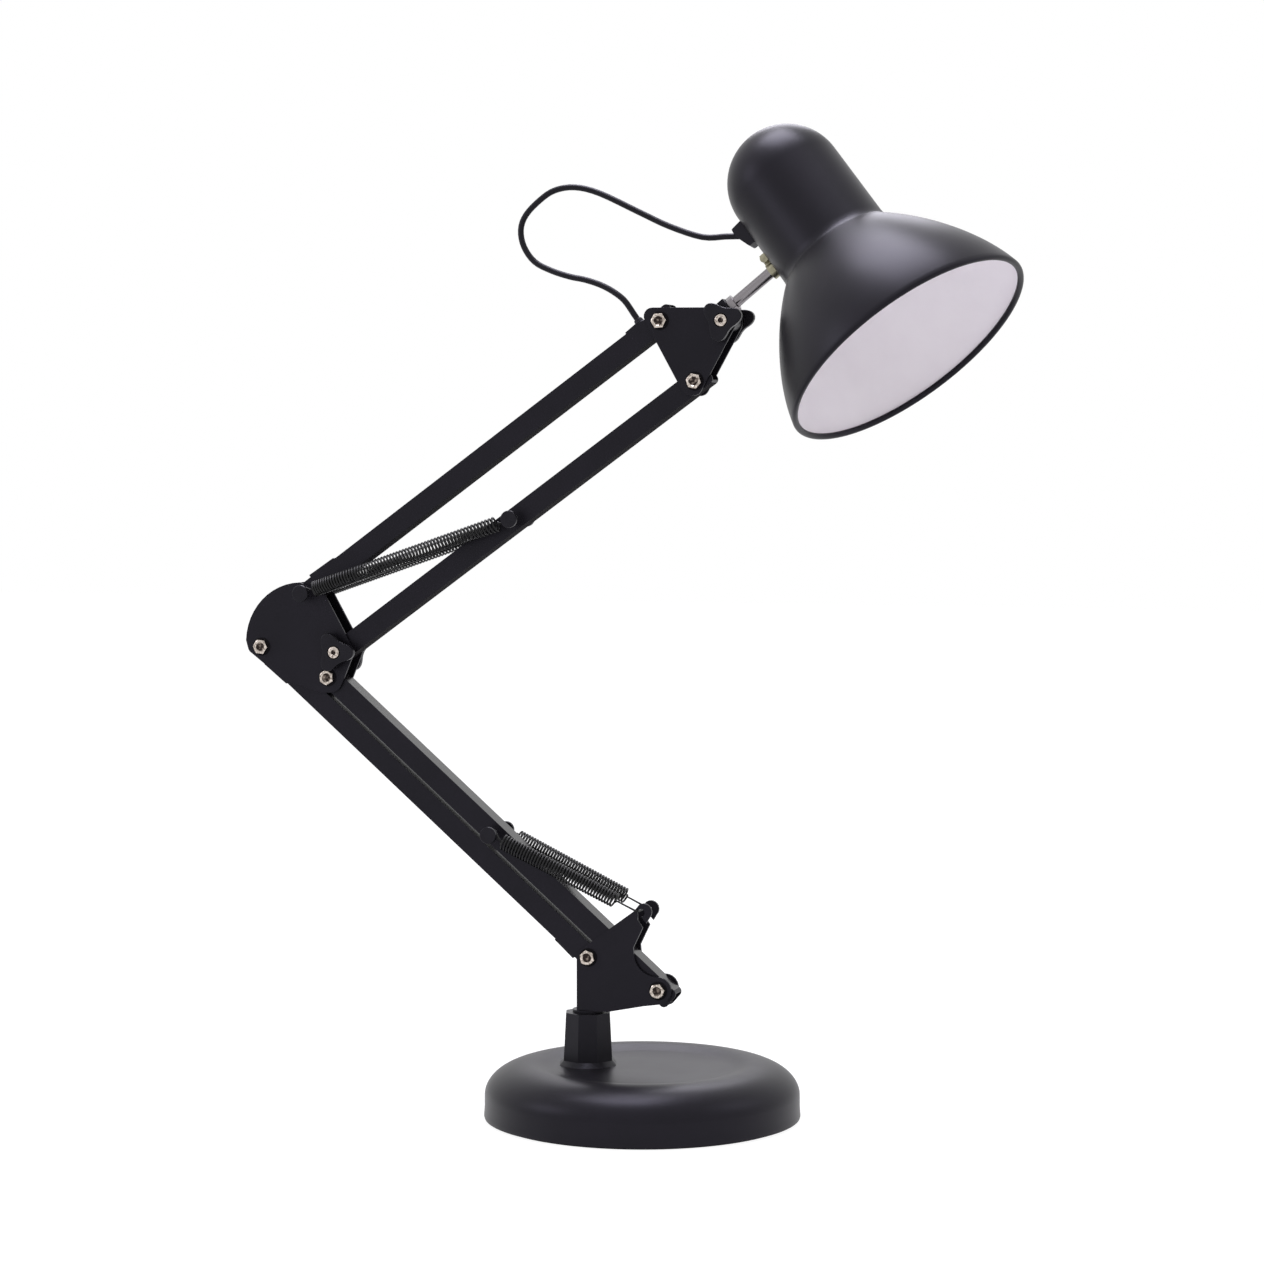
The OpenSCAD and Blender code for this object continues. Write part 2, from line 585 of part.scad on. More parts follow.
head_outline = rounded([[-13.2, 7.7, 5], [51, 7.1, 8], [23.4, -43, 5], [15, -43, 5]]);
module head_plate_outline() translate(pivot_c2) difference() {
    polygon(head_outline);
    for (p = [pivot_c2, pivot_d2, pivot_e]) translate(p - pivot_c2) circle(r = bolt_r + 0.1);
}
module head_plate_near() color(black) slab(-plate_out, plate_t) head_plate_outline();
module head_plate_far() color(black) slab(plate_in, plate_t) head_plate_outline();
module head_bolts() bolts([pivot_c2, pivot_d2]);
module head_nuts() nuts([pivot_c2, pivot_d2]);
module head_knob() knob(pivot_e, 17);
module head_knob_screw() knob_screw(pivot_e);
module head_knob_far() knob_nut(pivot_e, 17);

// ---- head rod: x runs along the rod, z is square to it ----

module head_frame() translate(xyz(pivot_e, 0)) rotate([0, -rod_angle, 0]) children();
block_half = bar_w / 2;
module head_block() color("#6d6f73") head_frame() difference() {
    union() {
        rod_y([0, 0], block_l - 0.1, -block_half, block_half);
        translate([0, -block_half, rod_off - block_h / 2]) cube([block_l, bar_w, block_h]);
    }
    rod_y([0, 0], bolt_r + run_gap, -bar_w, bar_w);
    translate([block_l - rod_sink, 0, rod_off]) rotate([0, 90, 0]) cylinder(h = block_l, r = rod_d / 2 + fit_gap);
}
module head_rod() color("silver") head_frame() translate([block_l - rod_sink, 0, rod_off]) rotate([0, 90, 0])
    cylinder(h = wall_s + rod_end - block_l + rod_sink, r = rod_d / 2);
module rod_nut() color("silver") head_frame() translate([block_l, 0, rod_off]) rotate([0, 90, 0]) difference() {
    cylinder(h = rod_nut_h, r = rod_nut_r, $fn = 6);
    translate([0, 0, -1]) cylinder(h = rod_nut_h + 2, r = rod_d / 2 + fit_gap);
}

// ---- shade: origin where the rod meets the neck, x into the neck, z up along it ----

module neck_frame() head_frame() translate([wall_s, 0, rod_off]) rotate([shade_turn, 0, 0]) children();
function bezier(a, b, c, d, n) = [for (i = [0:n]) let(t = i / n)
    pow(1 - t, 3) * a + 3 * pow(1 - t, 2) * t * b + 3 * (1 - t) * t * t * c + t * t * t * d];
rim_r = rim_d / 2;
// Outer line of the shade as [radius, height above the rim], from the rim to the top of the dome
function bell_line(inset) = bezier([rim_r - inset, bead_r], [rim_r - 5.5 - inset, bell_h * 0.36],
    [neck_r + 17.5 - inset, bell_h * 0.73], [neck_r + 1.6 - inset, bell_h - 6], 12);
function neck_fillet(inset) = [[neck_r + 0.4 - inset, bell_h - 3.5], [neck_r - inset, bell_h]];
dome_z = rim_drop + dome_rise;
function dome_line(inset) = [for (a = [0:9:90]) (neck_r - inset) * [cos(a), sin(a)] + [0, dome_z]];
function shade_line(inset) = concat(bell_line(inset), neck_fillet(inset), dome_line(inset));
slot_w = 17;
slot_h = 21.6;
slot_z = 2.75;
module shade() color(black) neck_frame() difference() {
    translate([neck_r, 0, -rim_drop]) rotate_extrude($fn = 96) union() {
        difference() {
            polygon(concat([[0, bead_r]], shade_line(0)));
            polygon(concat([[0, bead_r - 1]], [[rim_r - shade_t, bead_r - 1]], shade_line(shade_t)));
        }
        translate([rim_r - bead_r, bead_r]) circle(r = bead_r, $fn = 24);
    }
    for (s = [-1, 1]) translate([-5, 0, slot_z + s * (slot_h - slot_w) / 2]) rotate([0, 90, 0])
        cylinder(h = 12, r = slot_w / 2);
    translate([-5, -slot_w / 2, slot_z - (slot_h - slot_w) / 2]) cube([12, slot_w, slot_h - slot_w]);
}

barrel_r = 5;
ear_z = 6.8;
screw_flange_r = 2.65;
module neck_clamp() color("#c9c3a8") neck_frame() difference() {
    union() {
        translate([-3.5, 0, 0]) rotate([0, 90, 0]) cylinder(h = strap_x + strap_t + 5, r = barrel_r);
        translate([-3, -4, 0]) cube([4.6, 8, ear_z + 3.6]);
        translate([strap_x + strap_t, -7, -8]) cube([1.5, 14, 21]);
    }
    translate([-5, 0, 0]) rotate([0, 90, 0]) cylinder(h = 20, r = rod_d / 2 + run_gap);
    translate([-4, -0.75, 0]) cube([5.6, 1.5, 13]);
    rod_y([-0.7, ear_z], 1.5 + fit_gap, -10, 10);
}
module clamp_screw() color("#b5b08a") neck_frame() {
    rod_y([-0.7, ear_z], 1.5, -4.5, 6.2);
    rod_y([-0.7, ear_z], screw_flange_r, -6.4, -4);
    rod_y([-0.7, ear_z], screw_flange_r, 4, 6);
}

module holder_strap() color("#c9c3a8") neck_frame() difference() {
    union() {
        translate([strap_x, -8, -14]) cube([strap_t, 16, leg_z + 14]);
        translate([strap_x, -8, leg_z]) cube([neck_r + 10 - strap_x, 16, strap_t]);
    }
    translate([0, 0, 0]) rotate([0, 90, 0]) cylinder(h = 10, r = barrel_r + fit_gap);
    translate([neck_r, 0, leg_z - 1]) cylinder(h = 4, r = 5 + fit_gap);
    translate([0, 0, relief_z]) rotate([0, 90, 0]) cylinder(h = 10, r = lead_d / 2 + 0.5);
}

holder_r = 18.5;
holder_low = -16;
thread_r = 14.2;
module lampholder() color(black_plastic) neck_frame() translate([neck_r, 0, 0]) difference() {
    union() {
        translate([0, 0, holder_low]) cylinder(h = 22, r = holder_r);
        translate([0, 0, 6]) cylinder(h = leg_z - 6, r1 = holder_r, r2 = 11);
        translate([0, 0, leg_z - 1]) cylinder(h = strap_t + 5, r = 5);
        translate([0, 0, leg_z + strap_t]) cylinder(h = 3.5, r = 8, $fn = 6);
    }
    translate([0, 0, holder_low - 1]) cylinder(h = 25, r = thread_r + fit_gap);
}
module lamp_thread() color("#c8a55a") neck_frame() translate([neck_r, 0, holder_low + 1]) difference() {
    cylinder(h = 23, r = thread_r);
    translate([0, 0, -1]) cylinder(h = 23, r = thread_r - 0.8);
}

relief_z = 27;
relief_w = 8;
// Where the lead leaves the relief's nose, in the neck's frame
nose = [-7.8, 31.4];
rod_u = [cos(rod_angle), 0, sin(rod_angle)];
rod_v = [-sin(rod_angle), 0, cos(rod_angle)];
neck_up = cos(shade_turn) * rod_v - [0, sin(shade_turn), 0];
nose_at = xyz(pivot_e, 0) + rod_off * rod_v + (wall_s + nose[0]) * rod_u + nose[1] * neck_up;
module strain_relief() color(black_plastic) difference() {
    neck_frame() difference() {
        slab(-relief_w / 2, relief_w) polygon(rounded([[2, 19.2, 0.2], [-3.9, 19.5, 1.2], [-7.3, 29.8, 1],
            [-6.8, 34.6, 0.8], [2, 35.4, 0.2]]));
        translate([neck_r, 0, 0]) cylinder(h = dome_rise, r = neck_r + 0.02);
        translate([neck_r, 0, dome_rise]) sphere(r = neck_r + 0.02);
    }
    translate(nose_at + [3.5, 0, 0]) rotate([0, -90, 0]) cylinder(h = 10, r = lead_d / 2 + fit_gap);
}

// ---- lead on the arms: loop at the head and runs inside the rear bars ----

module lead_bush() color(black_plastic) lay(pivot_c1, upper_angle) translate([bar_l - entry_back, 0, 0])
    difference() {
        union() {
            translate([0, 0, bar_depth / 2]) cylinder(h = 1, r = 4);
            translate([0, 0, bar_depth / 2]) cylinder(h = bush_h, r1 = 3.4, r2 = lead_d / 2 + 0.6);
            translate([0, 0, bar_depth / 2 - bar_wall - 0.6])
                cylinder(h = bar_wall + 1, r = lead_hole_r - fit_gap);
        }
        cylinder(h = bar_depth, r = lead_d / 2 + fit_gap);
    }

// A point on the bush's axis at a height above the bar's middle
function bush_at(z) = xyz(pivot_c2 - entry_back * upper_dir + z * [-upper_dir[1], upper_dir[0]], 0);
bush_top = bar_depth / 2 + bush_h;
// The loop from the relief's nose round to the bush; a change of size moves its ends and bends it between
loop_points = [[48, 6.4, 512], [34, 6.8, 512], [14.2, 7, 518.5], [-3.8, 6.9, 526.9], [-28, 6.5, 538.4],
    [-43, 6, 542.2], [-55.1, 5.4, 540.7], [-64.2, 5, 535.2], [-72.7, 4.5, 526.7], [-75.7, 4, 518.1],
    [-73.6, 3.5, 508.2], [-66.8, 3, 499.3], [-56.1, 2.5, 493.9], [-44.8, 2, 490.3], [-35.6, 1.5, 488.4],
    [-26.2, 1, 485.4], [-18.2, 0.6, 481.4], [-11, 0.2, 476]];
nose_shift = nose_at - [54.1, 6.4, 512];
bush_shift = bush_at(bush_top) - [-2.9, 0, 464.8];
loop_last = len(loop_points) - 1;
loop_path = smooth(concat([nose_at + [3, 0, 0], nose_at],
    [for (i = [0:loop_last]) loop_points[i] + (1 - i / loop_last) * nose_shift + i / loop_last * bush_shift],
    [bush_at(bush_top + 4), bush_at(bush_top + 0.3), bush_at(bush_top - 3.5)]), 2);
module lead_loop() lead_tube(loop_path, [0, 1, 0]);

// The lead lies on the lower wall inside each rear bar and rises to the bush
wall_rest = -bar_depth / 2 + bar_wall + lead_d / 2 + 0.05;
module lead_upper() lay(pivot_c1, upper_angle) lead_tube(smooth([[8, 0, wall_rest], [100, 0, wall_rest],
    [bar_l - entry_back - 30, 0, wall_rest], [bar_l - entry_back - 16, 0, wall_rest + 0.1],
    [bar_l - entry_back - 7, 0, wall_rest + 2], [bar_l - entry_back - 1.5, 0, 0.8],
    [bar_l - entry_back, 0, bar_depth / 2 - bar_wall - 1.2]], 2), [0, 1, 0]);
module lead_lower() lay(pivot_a1, lower_angle)
    lead_tube([for (i = [0:6]) [8 + i / 6 * (bar_l - 16), 0, wall_rest]], [0, 1, 0]);

base_shell();
base_weight();
base_plate();
base_pad();
base_screws();
collar();
collar_bolt();
lead_exit();
lead_tail();
lead_coil();
plug_body();
plug_pins();
lower_bracket();
swivel_post();
lower_bolts();
lower_nuts();
lower_springs();
lower_bar_rear();
lead_lower();
lower_bar_front();
lower_spring_pin();
lower_pin_caps();
elbow_plate_near();
elbow_plate_far();
elbow_bolts();
elbow_nuts();
elbow_pin();
elbow_pin_caps();
elbow_knob();
elbow_knob_screw();
elbow_knob_far();
upper_springs();
upper_bar_rear();
lead_upper();
lead_bush();
upper_bar_front();
upper_spring_pin();
upper_pin_caps();
head_plate_near();
head_plate_far();
head_bolts();
head_nuts();
head_knob();
head_knob_screw();
head_knob_far();
head_block();
head_rod();
rod_nut();
shade();
neck_clamp();
clamp_screw();
holder_strap();
lampholder();
lamp_thread();
strain_relief();
lead_loop();
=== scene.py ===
import math
import bpy
from mathutils import Matrix, Vector


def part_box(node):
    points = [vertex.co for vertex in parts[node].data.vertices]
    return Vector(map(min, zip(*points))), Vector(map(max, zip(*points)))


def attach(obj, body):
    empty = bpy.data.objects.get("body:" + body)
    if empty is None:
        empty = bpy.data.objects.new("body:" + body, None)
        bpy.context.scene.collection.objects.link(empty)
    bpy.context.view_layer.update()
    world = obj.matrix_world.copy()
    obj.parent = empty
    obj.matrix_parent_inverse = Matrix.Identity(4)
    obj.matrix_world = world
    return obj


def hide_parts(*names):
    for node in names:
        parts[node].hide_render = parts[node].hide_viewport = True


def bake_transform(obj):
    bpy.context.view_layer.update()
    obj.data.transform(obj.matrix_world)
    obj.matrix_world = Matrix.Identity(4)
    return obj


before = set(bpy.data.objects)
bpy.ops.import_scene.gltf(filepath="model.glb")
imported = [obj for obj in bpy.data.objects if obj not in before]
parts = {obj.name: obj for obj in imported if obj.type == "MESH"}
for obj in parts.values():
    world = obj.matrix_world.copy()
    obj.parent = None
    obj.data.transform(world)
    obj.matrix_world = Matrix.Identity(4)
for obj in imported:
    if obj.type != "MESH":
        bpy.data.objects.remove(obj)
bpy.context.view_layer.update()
MM = 0.001

# ---- Camera ----
# The photograph is taken through a long lens, from a little right of square to the arms and
# from about two thirds of the lamp's height, looking slightly down.
photo_px = 1264
focal_px = 3255.3
view_turn = math.radians(17.63)
view_drop = math.radians(3.27)
view_back, view_aside, view_height = 1886 * MM, -6 * MM, 392 * MM
lens = bpy.data.cameras.new("photo_view")
lens.sensor_width = 36
lens.lens = focal_px / photo_px * lens.sensor_width
camera = bpy.data.objects.new("photo_view", lens)
bpy.context.scene.collection.objects.link(camera)
camera.location = (
    math.sin(view_turn) * view_back + math.cos(view_turn) * view_aside,
    -math.cos(view_turn) * view_back + math.sin(view_turn) * view_aside,
    view_height,
)
camera.rotation_euler = (math.radians(90) - view_drop, 0, view_turn)
bpy.context.scene.camera = camera

# ---- Mains lead behind the base ----
# One round two-core lead in a soft black PVC sheath. It leaves the collar through a strain relief,
# falls over the base's rear edge and is wound into a coil of four layers, with the plug lying beside it.


def linear(code):
    """A hex sRGB colour as the linear RGBA that shaders take."""
    parts_of_255 = [int(code[i : i + 2], 16) / 255 for i in (1, 3, 5)]
    return [c / 12.92 if c <= 0.04045 else ((c + 0.055) / 1.055) ** 2.4 for c in parts_of_255] + [1]


def new_material(name):
    """An empty node material."""
    made = bpy.data.materials.new(name)
    made.use_nodes = True
    made.node_tree.nodes.clear()
    return made


def add(material, kind, settings=None, links=None):
    """Adds one node: settings by socket or property name, links by the socket that each output feeds."""
    item = material.node_tree.nodes.new(kind)
    for key, value in (settings or {}).items():
        if isinstance(key, int) or key in item.inputs:
            item.inputs[key].default_value = value
        else:
            setattr(item, key, value)
    for key, output in (links or {}).items():
        material.node_tree.links.new(output, item.inputs[key])
    return item


def per_mm(size):
    """A noise scale that gives features of about that size in millimetres on Object coordinates."""
    return 1000 / size


def deselect():
    """Leaves edit mode with nothing selected."""
    if bpy.context.mode != "OBJECT":
        bpy.ops.object.mode_set(mode="OBJECT")
    bpy.ops.object.select_all(action="DESELECT")


def pick(obj):
    """Makes obj the only selected object, and active."""
    deselect()
    obj.select_set(True)
    bpy.context.view_layer.objects.active = obj


def smooth(points, pieces):
    """A smooth curve through the points, with so many short pieces to a stretch."""
    pts = [Vector(p) for p in points]
    line = []
    for i in range(len(pts) - 1):
        a, b, c, d = pts[max(i - 1, 0)], pts[i], pts[i + 1], pts[min(i + 2, len(pts) - 1)]
        for k in range(pieces):
            t = k / pieces
            bend = (2 * a - 5 * b + 4 * c - d) * t * t + (3 * b - a - 3 * c + d) * t**3
            line.append(0.5 * (2 * b + (c - a) * t + bend))
    return line + [pts[-1]]


def tube(name, line, radius, sides=12):
    """A closed round tube, as a mesh, along a line of points in millimetres."""
    curve = bpy.data.curves.new(name, "CURVE")
    curve.dimensions = "3D"
    curve.bevel_depth = radius * MM
    curve.bevel_resolution = (sides - 4) // 2
    curve.use_fill_caps = True
    spline = curve.splines.new("POLY")
    spline.points.add(len(line) - 1)
    for point, place in zip(spline.points, line):
        point.co = (*(Vector(place) * MM), 1)
    made = bpy.data.objects.new(name, curve)
    bpy.context.scene.collection.objects.link(made)
    pick(made)
    bpy.ops.object.convert(target="MESH")
    made = bpy.context.object
    bpy.ops.object.shade_smooth_by_angle(angle=math.radians(50))
    return made


def dress(obj, name, finish, body, slot, *nodes):
    """Names a finished piece, gives it its material and body, and hides the CAD nodes that it stands for. The
    slot is not used.
    """
    obj.name = obj.data.name = name
    obj.data.materials.clear()
    obj.data.materials.append(finish)
    if body:
        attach(obj, body)
    if nodes:
        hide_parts(*nodes)
    return obj


# Extruded soft PVC: smooth from the die, with a dull oily sheen and faint bloom along its length.
# Like the lamp's other black finishes it has a slight violet cast in its highlights.
violet_cast = "#ebe8fc"
pvc_sheath = new_material("extruded_soft_pvc")
where = add(pvc_sheath, "ShaderNodeTexCoord")
bloom = add(
    pvc_sheath, "ShaderNodeTexNoise", {"Scale": per_mm(14), "Detail": 3.0},
    {"Vector": where.outputs["Object"]},
)
tone = add(pvc_sheath, "ShaderNodeValToRGB", {}, {"Fac": bloom.outputs["Fac"]})
tone.color_ramp.elements[0].position, tone.color_ramp.elements[1].position = 0.35, 0.7
tone.color_ramp.elements[0].color, tone.color_ramp.elements[1].color = linear("#0e0d0f"), linear("#151417")
sheen = add(
    pvc_sheath, "ShaderNodeMapRange", {"To Min": 0.34, "To Max": 0.46}, {"Value": bloom.outputs["Fac"]},
)
skin = add(
    pvc_sheath, "ShaderNodeTexNoise", {"Scale": per_mm(0.9), "Detail": 2.0},
    {"Vector": where.outputs["Object"]},
)
relief = add(
    pvc_sheath, "ShaderNodeBump", {"Strength": 0.25, "Distance": 0.03 * MM},
    {"Height": skin.outputs["Fac"]},
)
shader = add(
    pvc_sheath, "ShaderNodeBsdfPrincipled",
    {"IOR": 1.5, "Specular IOR Level": 0.2, "Specular Tint": linear(violet_cast)},
    {
        "Base Color": tone.outputs["Color"], "Roughness": sheen.outputs["Result"],
        "Normal": relief.outputs["Normal"],
    },
)
add(pvc_sheath, "ShaderNodeOutputMaterial", {}, {"Surface": shader.outputs["BSDF"]})

rear_turn = math.radians(17.6)
lead_r = 1.8


def rear(p):
    """A point of the frame that looks straight at the lamp's back, turned into the lamp's own frame."""
    c, s = math.cos(rear_turn), math.sin(rear_turn)
    return Vector((p[0] * c - p[1] * s, p[0] * s + p[1] * c, p[2]))


tail = [
    (-31.8, 20, 43), (-31.8, 30, 43), (-31.8, 39.5, 43), (-31.8, 43, 43), (-32, 51, 41.8),
    (-33, 59, 38.6), (-34, 68, 36), (-36, 77, 33), (-38, 86, 27.5), (-40, 93, 20), (-42, 98, 12),
    (-43.5, 103, 5.6), (-44.4, 109, 2.4), (-44.5, 115, 1.9), (-44.5, 120.9, 1.8),
]
coil_at = (-17.5, 120.9)
coil_r, coil_step, coil_rise = 27, 2 * lead_r + 0.5, 2 * lead_r + 0.45
layers, loops_in_layer, coil_turns, points_in_turn = 4, 3, 12.25, 32


def coil_point(turn):
    """The coil's centre line: each layer winds in or out, and climbs to the next within half a turn."""
    layer = min(layers - 1, int(turn / loops_in_layer))
    done = turn - layer * loops_in_layer
    r = coil_r - (done if layer % 2 == 0 else loops_in_layer - done) * coil_step
    climbs = sum(max(0, min(1, 2 * (turn - k * loops_in_layer) + 0.5)) for k in range(1, layers))
    a = 2 * math.pi * turn
    return (coil_at[0] - r * math.cos(a), coil_at[1] + r * math.sin(a), lead_r + coil_rise * climbs)


to_plug = [
    (-8, 149.4, 14.1), (1.5, 150.7, 13.4), (10, 153, 11.2), (18.5, 155.4, 8.8), (27, 156, 7.3),
    (35, 153.8, 6.9), (40, 148.5, 6.85), (41.4, 143.5, 6.85), (41.4, 141, 6.85),
]
coil = [coil_point(i / points_in_turn) for i in range(int(coil_turns * points_in_turn) + 1)]
steps = 3
lead_line = [rear(p) for p in smooth(tail, steps)[:-1] + coil + smooth(to_plug, steps)]
mains_lead = tube("mains_lead", lead_line, lead_r)
dress(mains_lead, "mains_lead", pvc_sheath, "base", "lead_pvc", "lead_tail", "lead_coil")

# ---- Plug ----
# A flat two-pin plug on the lead's end, moulded in ABS with rounded edges, and two solid
# nickel-plated pins with rounded tips.


def softened(node, name, width, segments, chosen=None):
    """A copy of a CAD node with its sharp edges rounded, or only those that chosen(edge, mesh) picks."""
    merge_gap, flat_degrees, sharp_degrees, smooth_degrees = 0.002, 0.6, 35, 40
    made = bpy.data.objects.new(name, parts[node].data.copy())
    bpy.context.scene.collection.objects.link(made)
    pick(made)
    bpy.ops.object.mode_set(mode="EDIT")
    bpy.ops.mesh.select_all(action="SELECT")
    bpy.ops.mesh.customdata_custom_splitnormals_clear()
    bpy.ops.mesh.remove_doubles(threshold=merge_gap * MM)
    bpy.ops.mesh.dissolve_limited(angle_limit=math.radians(flat_degrees))
    bpy.ops.object.mode_set(mode="OBJECT")
    bevel = made.modifiers.new("edges", "BEVEL")
    bevel.width, bevel.segments = width * MM, segments
    bevel.limit_method, bevel.angle_limit = "ANGLE", math.radians(sharp_degrees)
    if chosen:
        weights = made.data.attributes.new("bevel_weight_edge", "FLOAT", "EDGE")
        for edge in made.data.edges:
            weights.data[edge.index].value = 1.0 if chosen(edge, made.data) else 0.0
        bevel.limit_method = "WEIGHT"
    bpy.ops.object.modifier_apply(modifier=bevel.name)
    bpy.ops.object.shade_smooth_by_angle(angle=math.radians(smooth_degrees))
    even = made.modifiers.new("flats", "WEIGHTED_NORMAL")
    even.keep_sharp = True
    bpy.ops.object.modifier_apply(modifier=even.name)
    return made


def rounded(node, name, width, segments, finish, body, slot):
    """A CAD node's softened copy, dressed to take the node's place."""
    return dress(softened(node, name, width, segments), name, finish, body, slot, node)


# Injection-moulded ABS: near black, a fine spark-eroded grain and a satin sheen.
# The real grain is about 0.1 mm and is drawn at 0.5 mm so that it shows.
moulded_abs = new_material("moulded_abs")
where = add(moulded_abs, "ShaderNodeTexCoord")
grain = add(
    moulded_abs, "ShaderNodeTexNoise", {"Scale": per_mm(0.5), "Detail": 2.0},
    {"Vector": where.outputs["Object"]},
)
haze = add(
    moulded_abs, "ShaderNodeTexNoise", {"Scale": per_mm(9), "Detail": 3.0},
    {"Vector": where.outputs["Object"]},
)
tone = add(moulded_abs, "ShaderNodeValToRGB", {}, {"Fac": haze.outputs["Fac"]})
tone.color_ramp.elements[0].position, tone.color_ramp.elements[1].position = 0.3, 0.75
tone.color_ramp.elements[0].color, tone.color_ramp.elements[1].color = linear("#0d0c0e"), linear("#141316")
sheen = add(
    moulded_abs, "ShaderNodeMapRange", {"To Min": 0.3, "To Max": 0.42}, {"Value": haze.outputs["Fac"]},
)
relief = add(
    moulded_abs, "ShaderNodeBump", {"Strength": 0.3, "Distance": 0.03 * MM},
    {"Height": grain.outputs["Fac"]},
)
shader = add(
    moulded_abs, "ShaderNodeBsdfPrincipled",
    {"IOR": 1.53, "Specular IOR Level": 0.2, "Specular Tint": linear(violet_cast)},
    {
        "Base Color": tone.outputs["Color"], "Roughness": sheen.outputs["Result"],
        "Normal": relief.outputs["Normal"],
    },
)
add(moulded_abs, "ShaderNodeOutputMaterial", {}, {"Surface": shader.outputs["BSDF"]})

# Bright nickel plate: warm white metal with a high polish, softened by fine tumbling marks.
nickel_plate = new_material("nickel_plated_steel")
where = add(nickel_plate, "ShaderNodeTexCoord")
marks = add(
    nickel_plate, "ShaderNodeTexNoise", {"Scale": per_mm(1.2), "Detail": 4.0},
    {"Vector": where.outputs["Object"]},
)
tone = add(nickel_plate, "ShaderNodeValToRGB", {}, {"Fac": marks.outputs["Fac"]})
tone.color_ramp.elements[0].position, tone.color_ramp.elements[1].position = 0.3, 0.65
tone.color_ramp.elements[0].color, tone.color_ramp.elements[1].color = linear("#6f635b"), linear("#e0d6cc")
sheen = add(
    nickel_plate, "ShaderNodeMapRange", {"To Min": 0.14, "To Max": 0.3},
    {"Value": marks.outputs["Fac"]},
)
shader = add(
    nickel_plate, "ShaderNodeBsdfPrincipled", {"Metallic": 1.0},
    {"Base Color": tone.outputs["Color"], "Roughness": sheen.outputs["Result"]},
)
add(nickel_plate, "ShaderNodeOutputMaterial", {}, {"Surface": shader.outputs["BSDF"]})

plug = rounded("plug_body", "plug", 1.6, 3, moulded_abs, "base", "black_plastic")
pins = rounded("plug_pins", "plug_pin_pair", 0.8, 3, nickel_plate, "base", "nickel")

# ---- Strain relief at the collar ----
# A tapered PVC sleeve moulded round the lead, with bending grooves cut round it, pressed into the collar.


def turned(name, outline, segments):
    """A piece turned round +Z: a circle is extruded along a closed outline of (radius, height) in mm."""
    deselect()
    r, z = outline[0]
    bpy.ops.mesh.primitive_circle_add(vertices=segments, radius=r * MM, location=(0, 0, z * MM))
    made = bpy.context.object
    made.name = name
    bpy.ops.object.transform_apply(location=True, rotation=True, scale=True)
    bpy.ops.object.mode_set(mode="EDIT")
    for next_r, next_z in outline[1:]:
        bpy.ops.mesh.extrude_edges_move(TRANSFORM_OT_translate={"value": (0, 0, (next_z - z) * MM)})
        if next_r != r:
            bpy.ops.transform.resize(value=(next_r / r, next_r / r, 1), center_override=(0, 0, next_z * MM))
        r, z = next_r, next_z
    bpy.ops.mesh.select_all(action="SELECT")
    bpy.ops.mesh.remove_doubles(threshold=0.01 * MM)
    bpy.ops.mesh.normals_make_consistent(inside=False)
    bpy.ops.object.mode_set(mode="OBJECT")
    bpy.ops.object.shade_smooth_by_angle(angle=math.radians(35))
    return made


def put(obj, matrix):
    """Moves a finished mesh to its place, and leaves the object at the origin."""
    obj.data.transform(matrix)
    obj.data.update()
    return obj


swivel_x, exit_z, exit_out, exit_l, seat_l = -33.4, 43, 7, 22, 8
bore_r, sleeve_r, tip_r = 1.85, 3.4, 2.4
groove_count, first_groove, groove_pitch, groove_depth = 6, 8.5, 2.1, 0.55
sleeve_outline = [(bore_r, 0), (sleeve_r, 0), (sleeve_r, seat_l)]
for i in range(groove_count):
    for z, cut in ((0, 0), (0.15, groove_depth), (0.85, groove_depth), (1.0, 0)):
        at = first_groove + groove_pitch * i + z
        sleeve_outline.append((sleeve_r - (at - seat_l) / (exit_l - seat_l) - cut, at))
sleeve_outline += [(tip_r, exit_l), (bore_r, exit_l), (bore_r, 0)]
sleeve = turned("lead_sleeve", sleeve_outline, 32)
put(
    sleeve,
    Matrix.Translation(Vector((swivel_x, 0, exit_z)) * MM) @ Matrix.Rotation(rear_turn, 4, "Z")
    @ Matrix.Rotation(math.radians(-90), 4, "X") @ Matrix.Translation((0, 0, exit_out * MM)),
)
dress(sleeve, "lead_sleeve", pvc_sheath, "base", "black_plastic", "lead_exit")

# ---- Base ----
# A deep-drawn steel cover, dished on top, over a cast iron weight. A painted bottom plate and a foam
# pad are screwed on underneath.
base_r, base_h, crest_r, dish_z, side_h, cover_t = 92.5, 32, 66, 29.5, 14, 1.2
dish_run, dish_steps, dish_floor_r = 17, 18, 20
side_lean, lip_in, lip_z = 0.4, 0.9, 1.0
# A turned outline starts and ends this close to its axis, where merging doubles closes it to a point.
pole = 0.001


def cover_line(inset):
    """The cover's section from its lower edge over the shoulder into the dish, moved in by inset."""
    side_r = base_r - side_lean - inset
    line = [(base_r - inset, 2.2), (base_r - 0.15 - inset, 4), (side_r, 8)]
    for a in range(0, 91, 3):
        t = math.radians(a)
        out = crest_r + (side_r - crest_r) * math.cos(t)
        line.append((out, side_h + (base_h - side_h - inset) * math.sin(t)))
    for i in range(1, dish_steps + 1):
        fall = 0.5 + 0.5 * math.cos(math.pi * i / dish_steps)
        line.append((crest_r - dish_run * i / dish_steps, dish_z - inset + (base_h - dish_z) * fall))
    return line


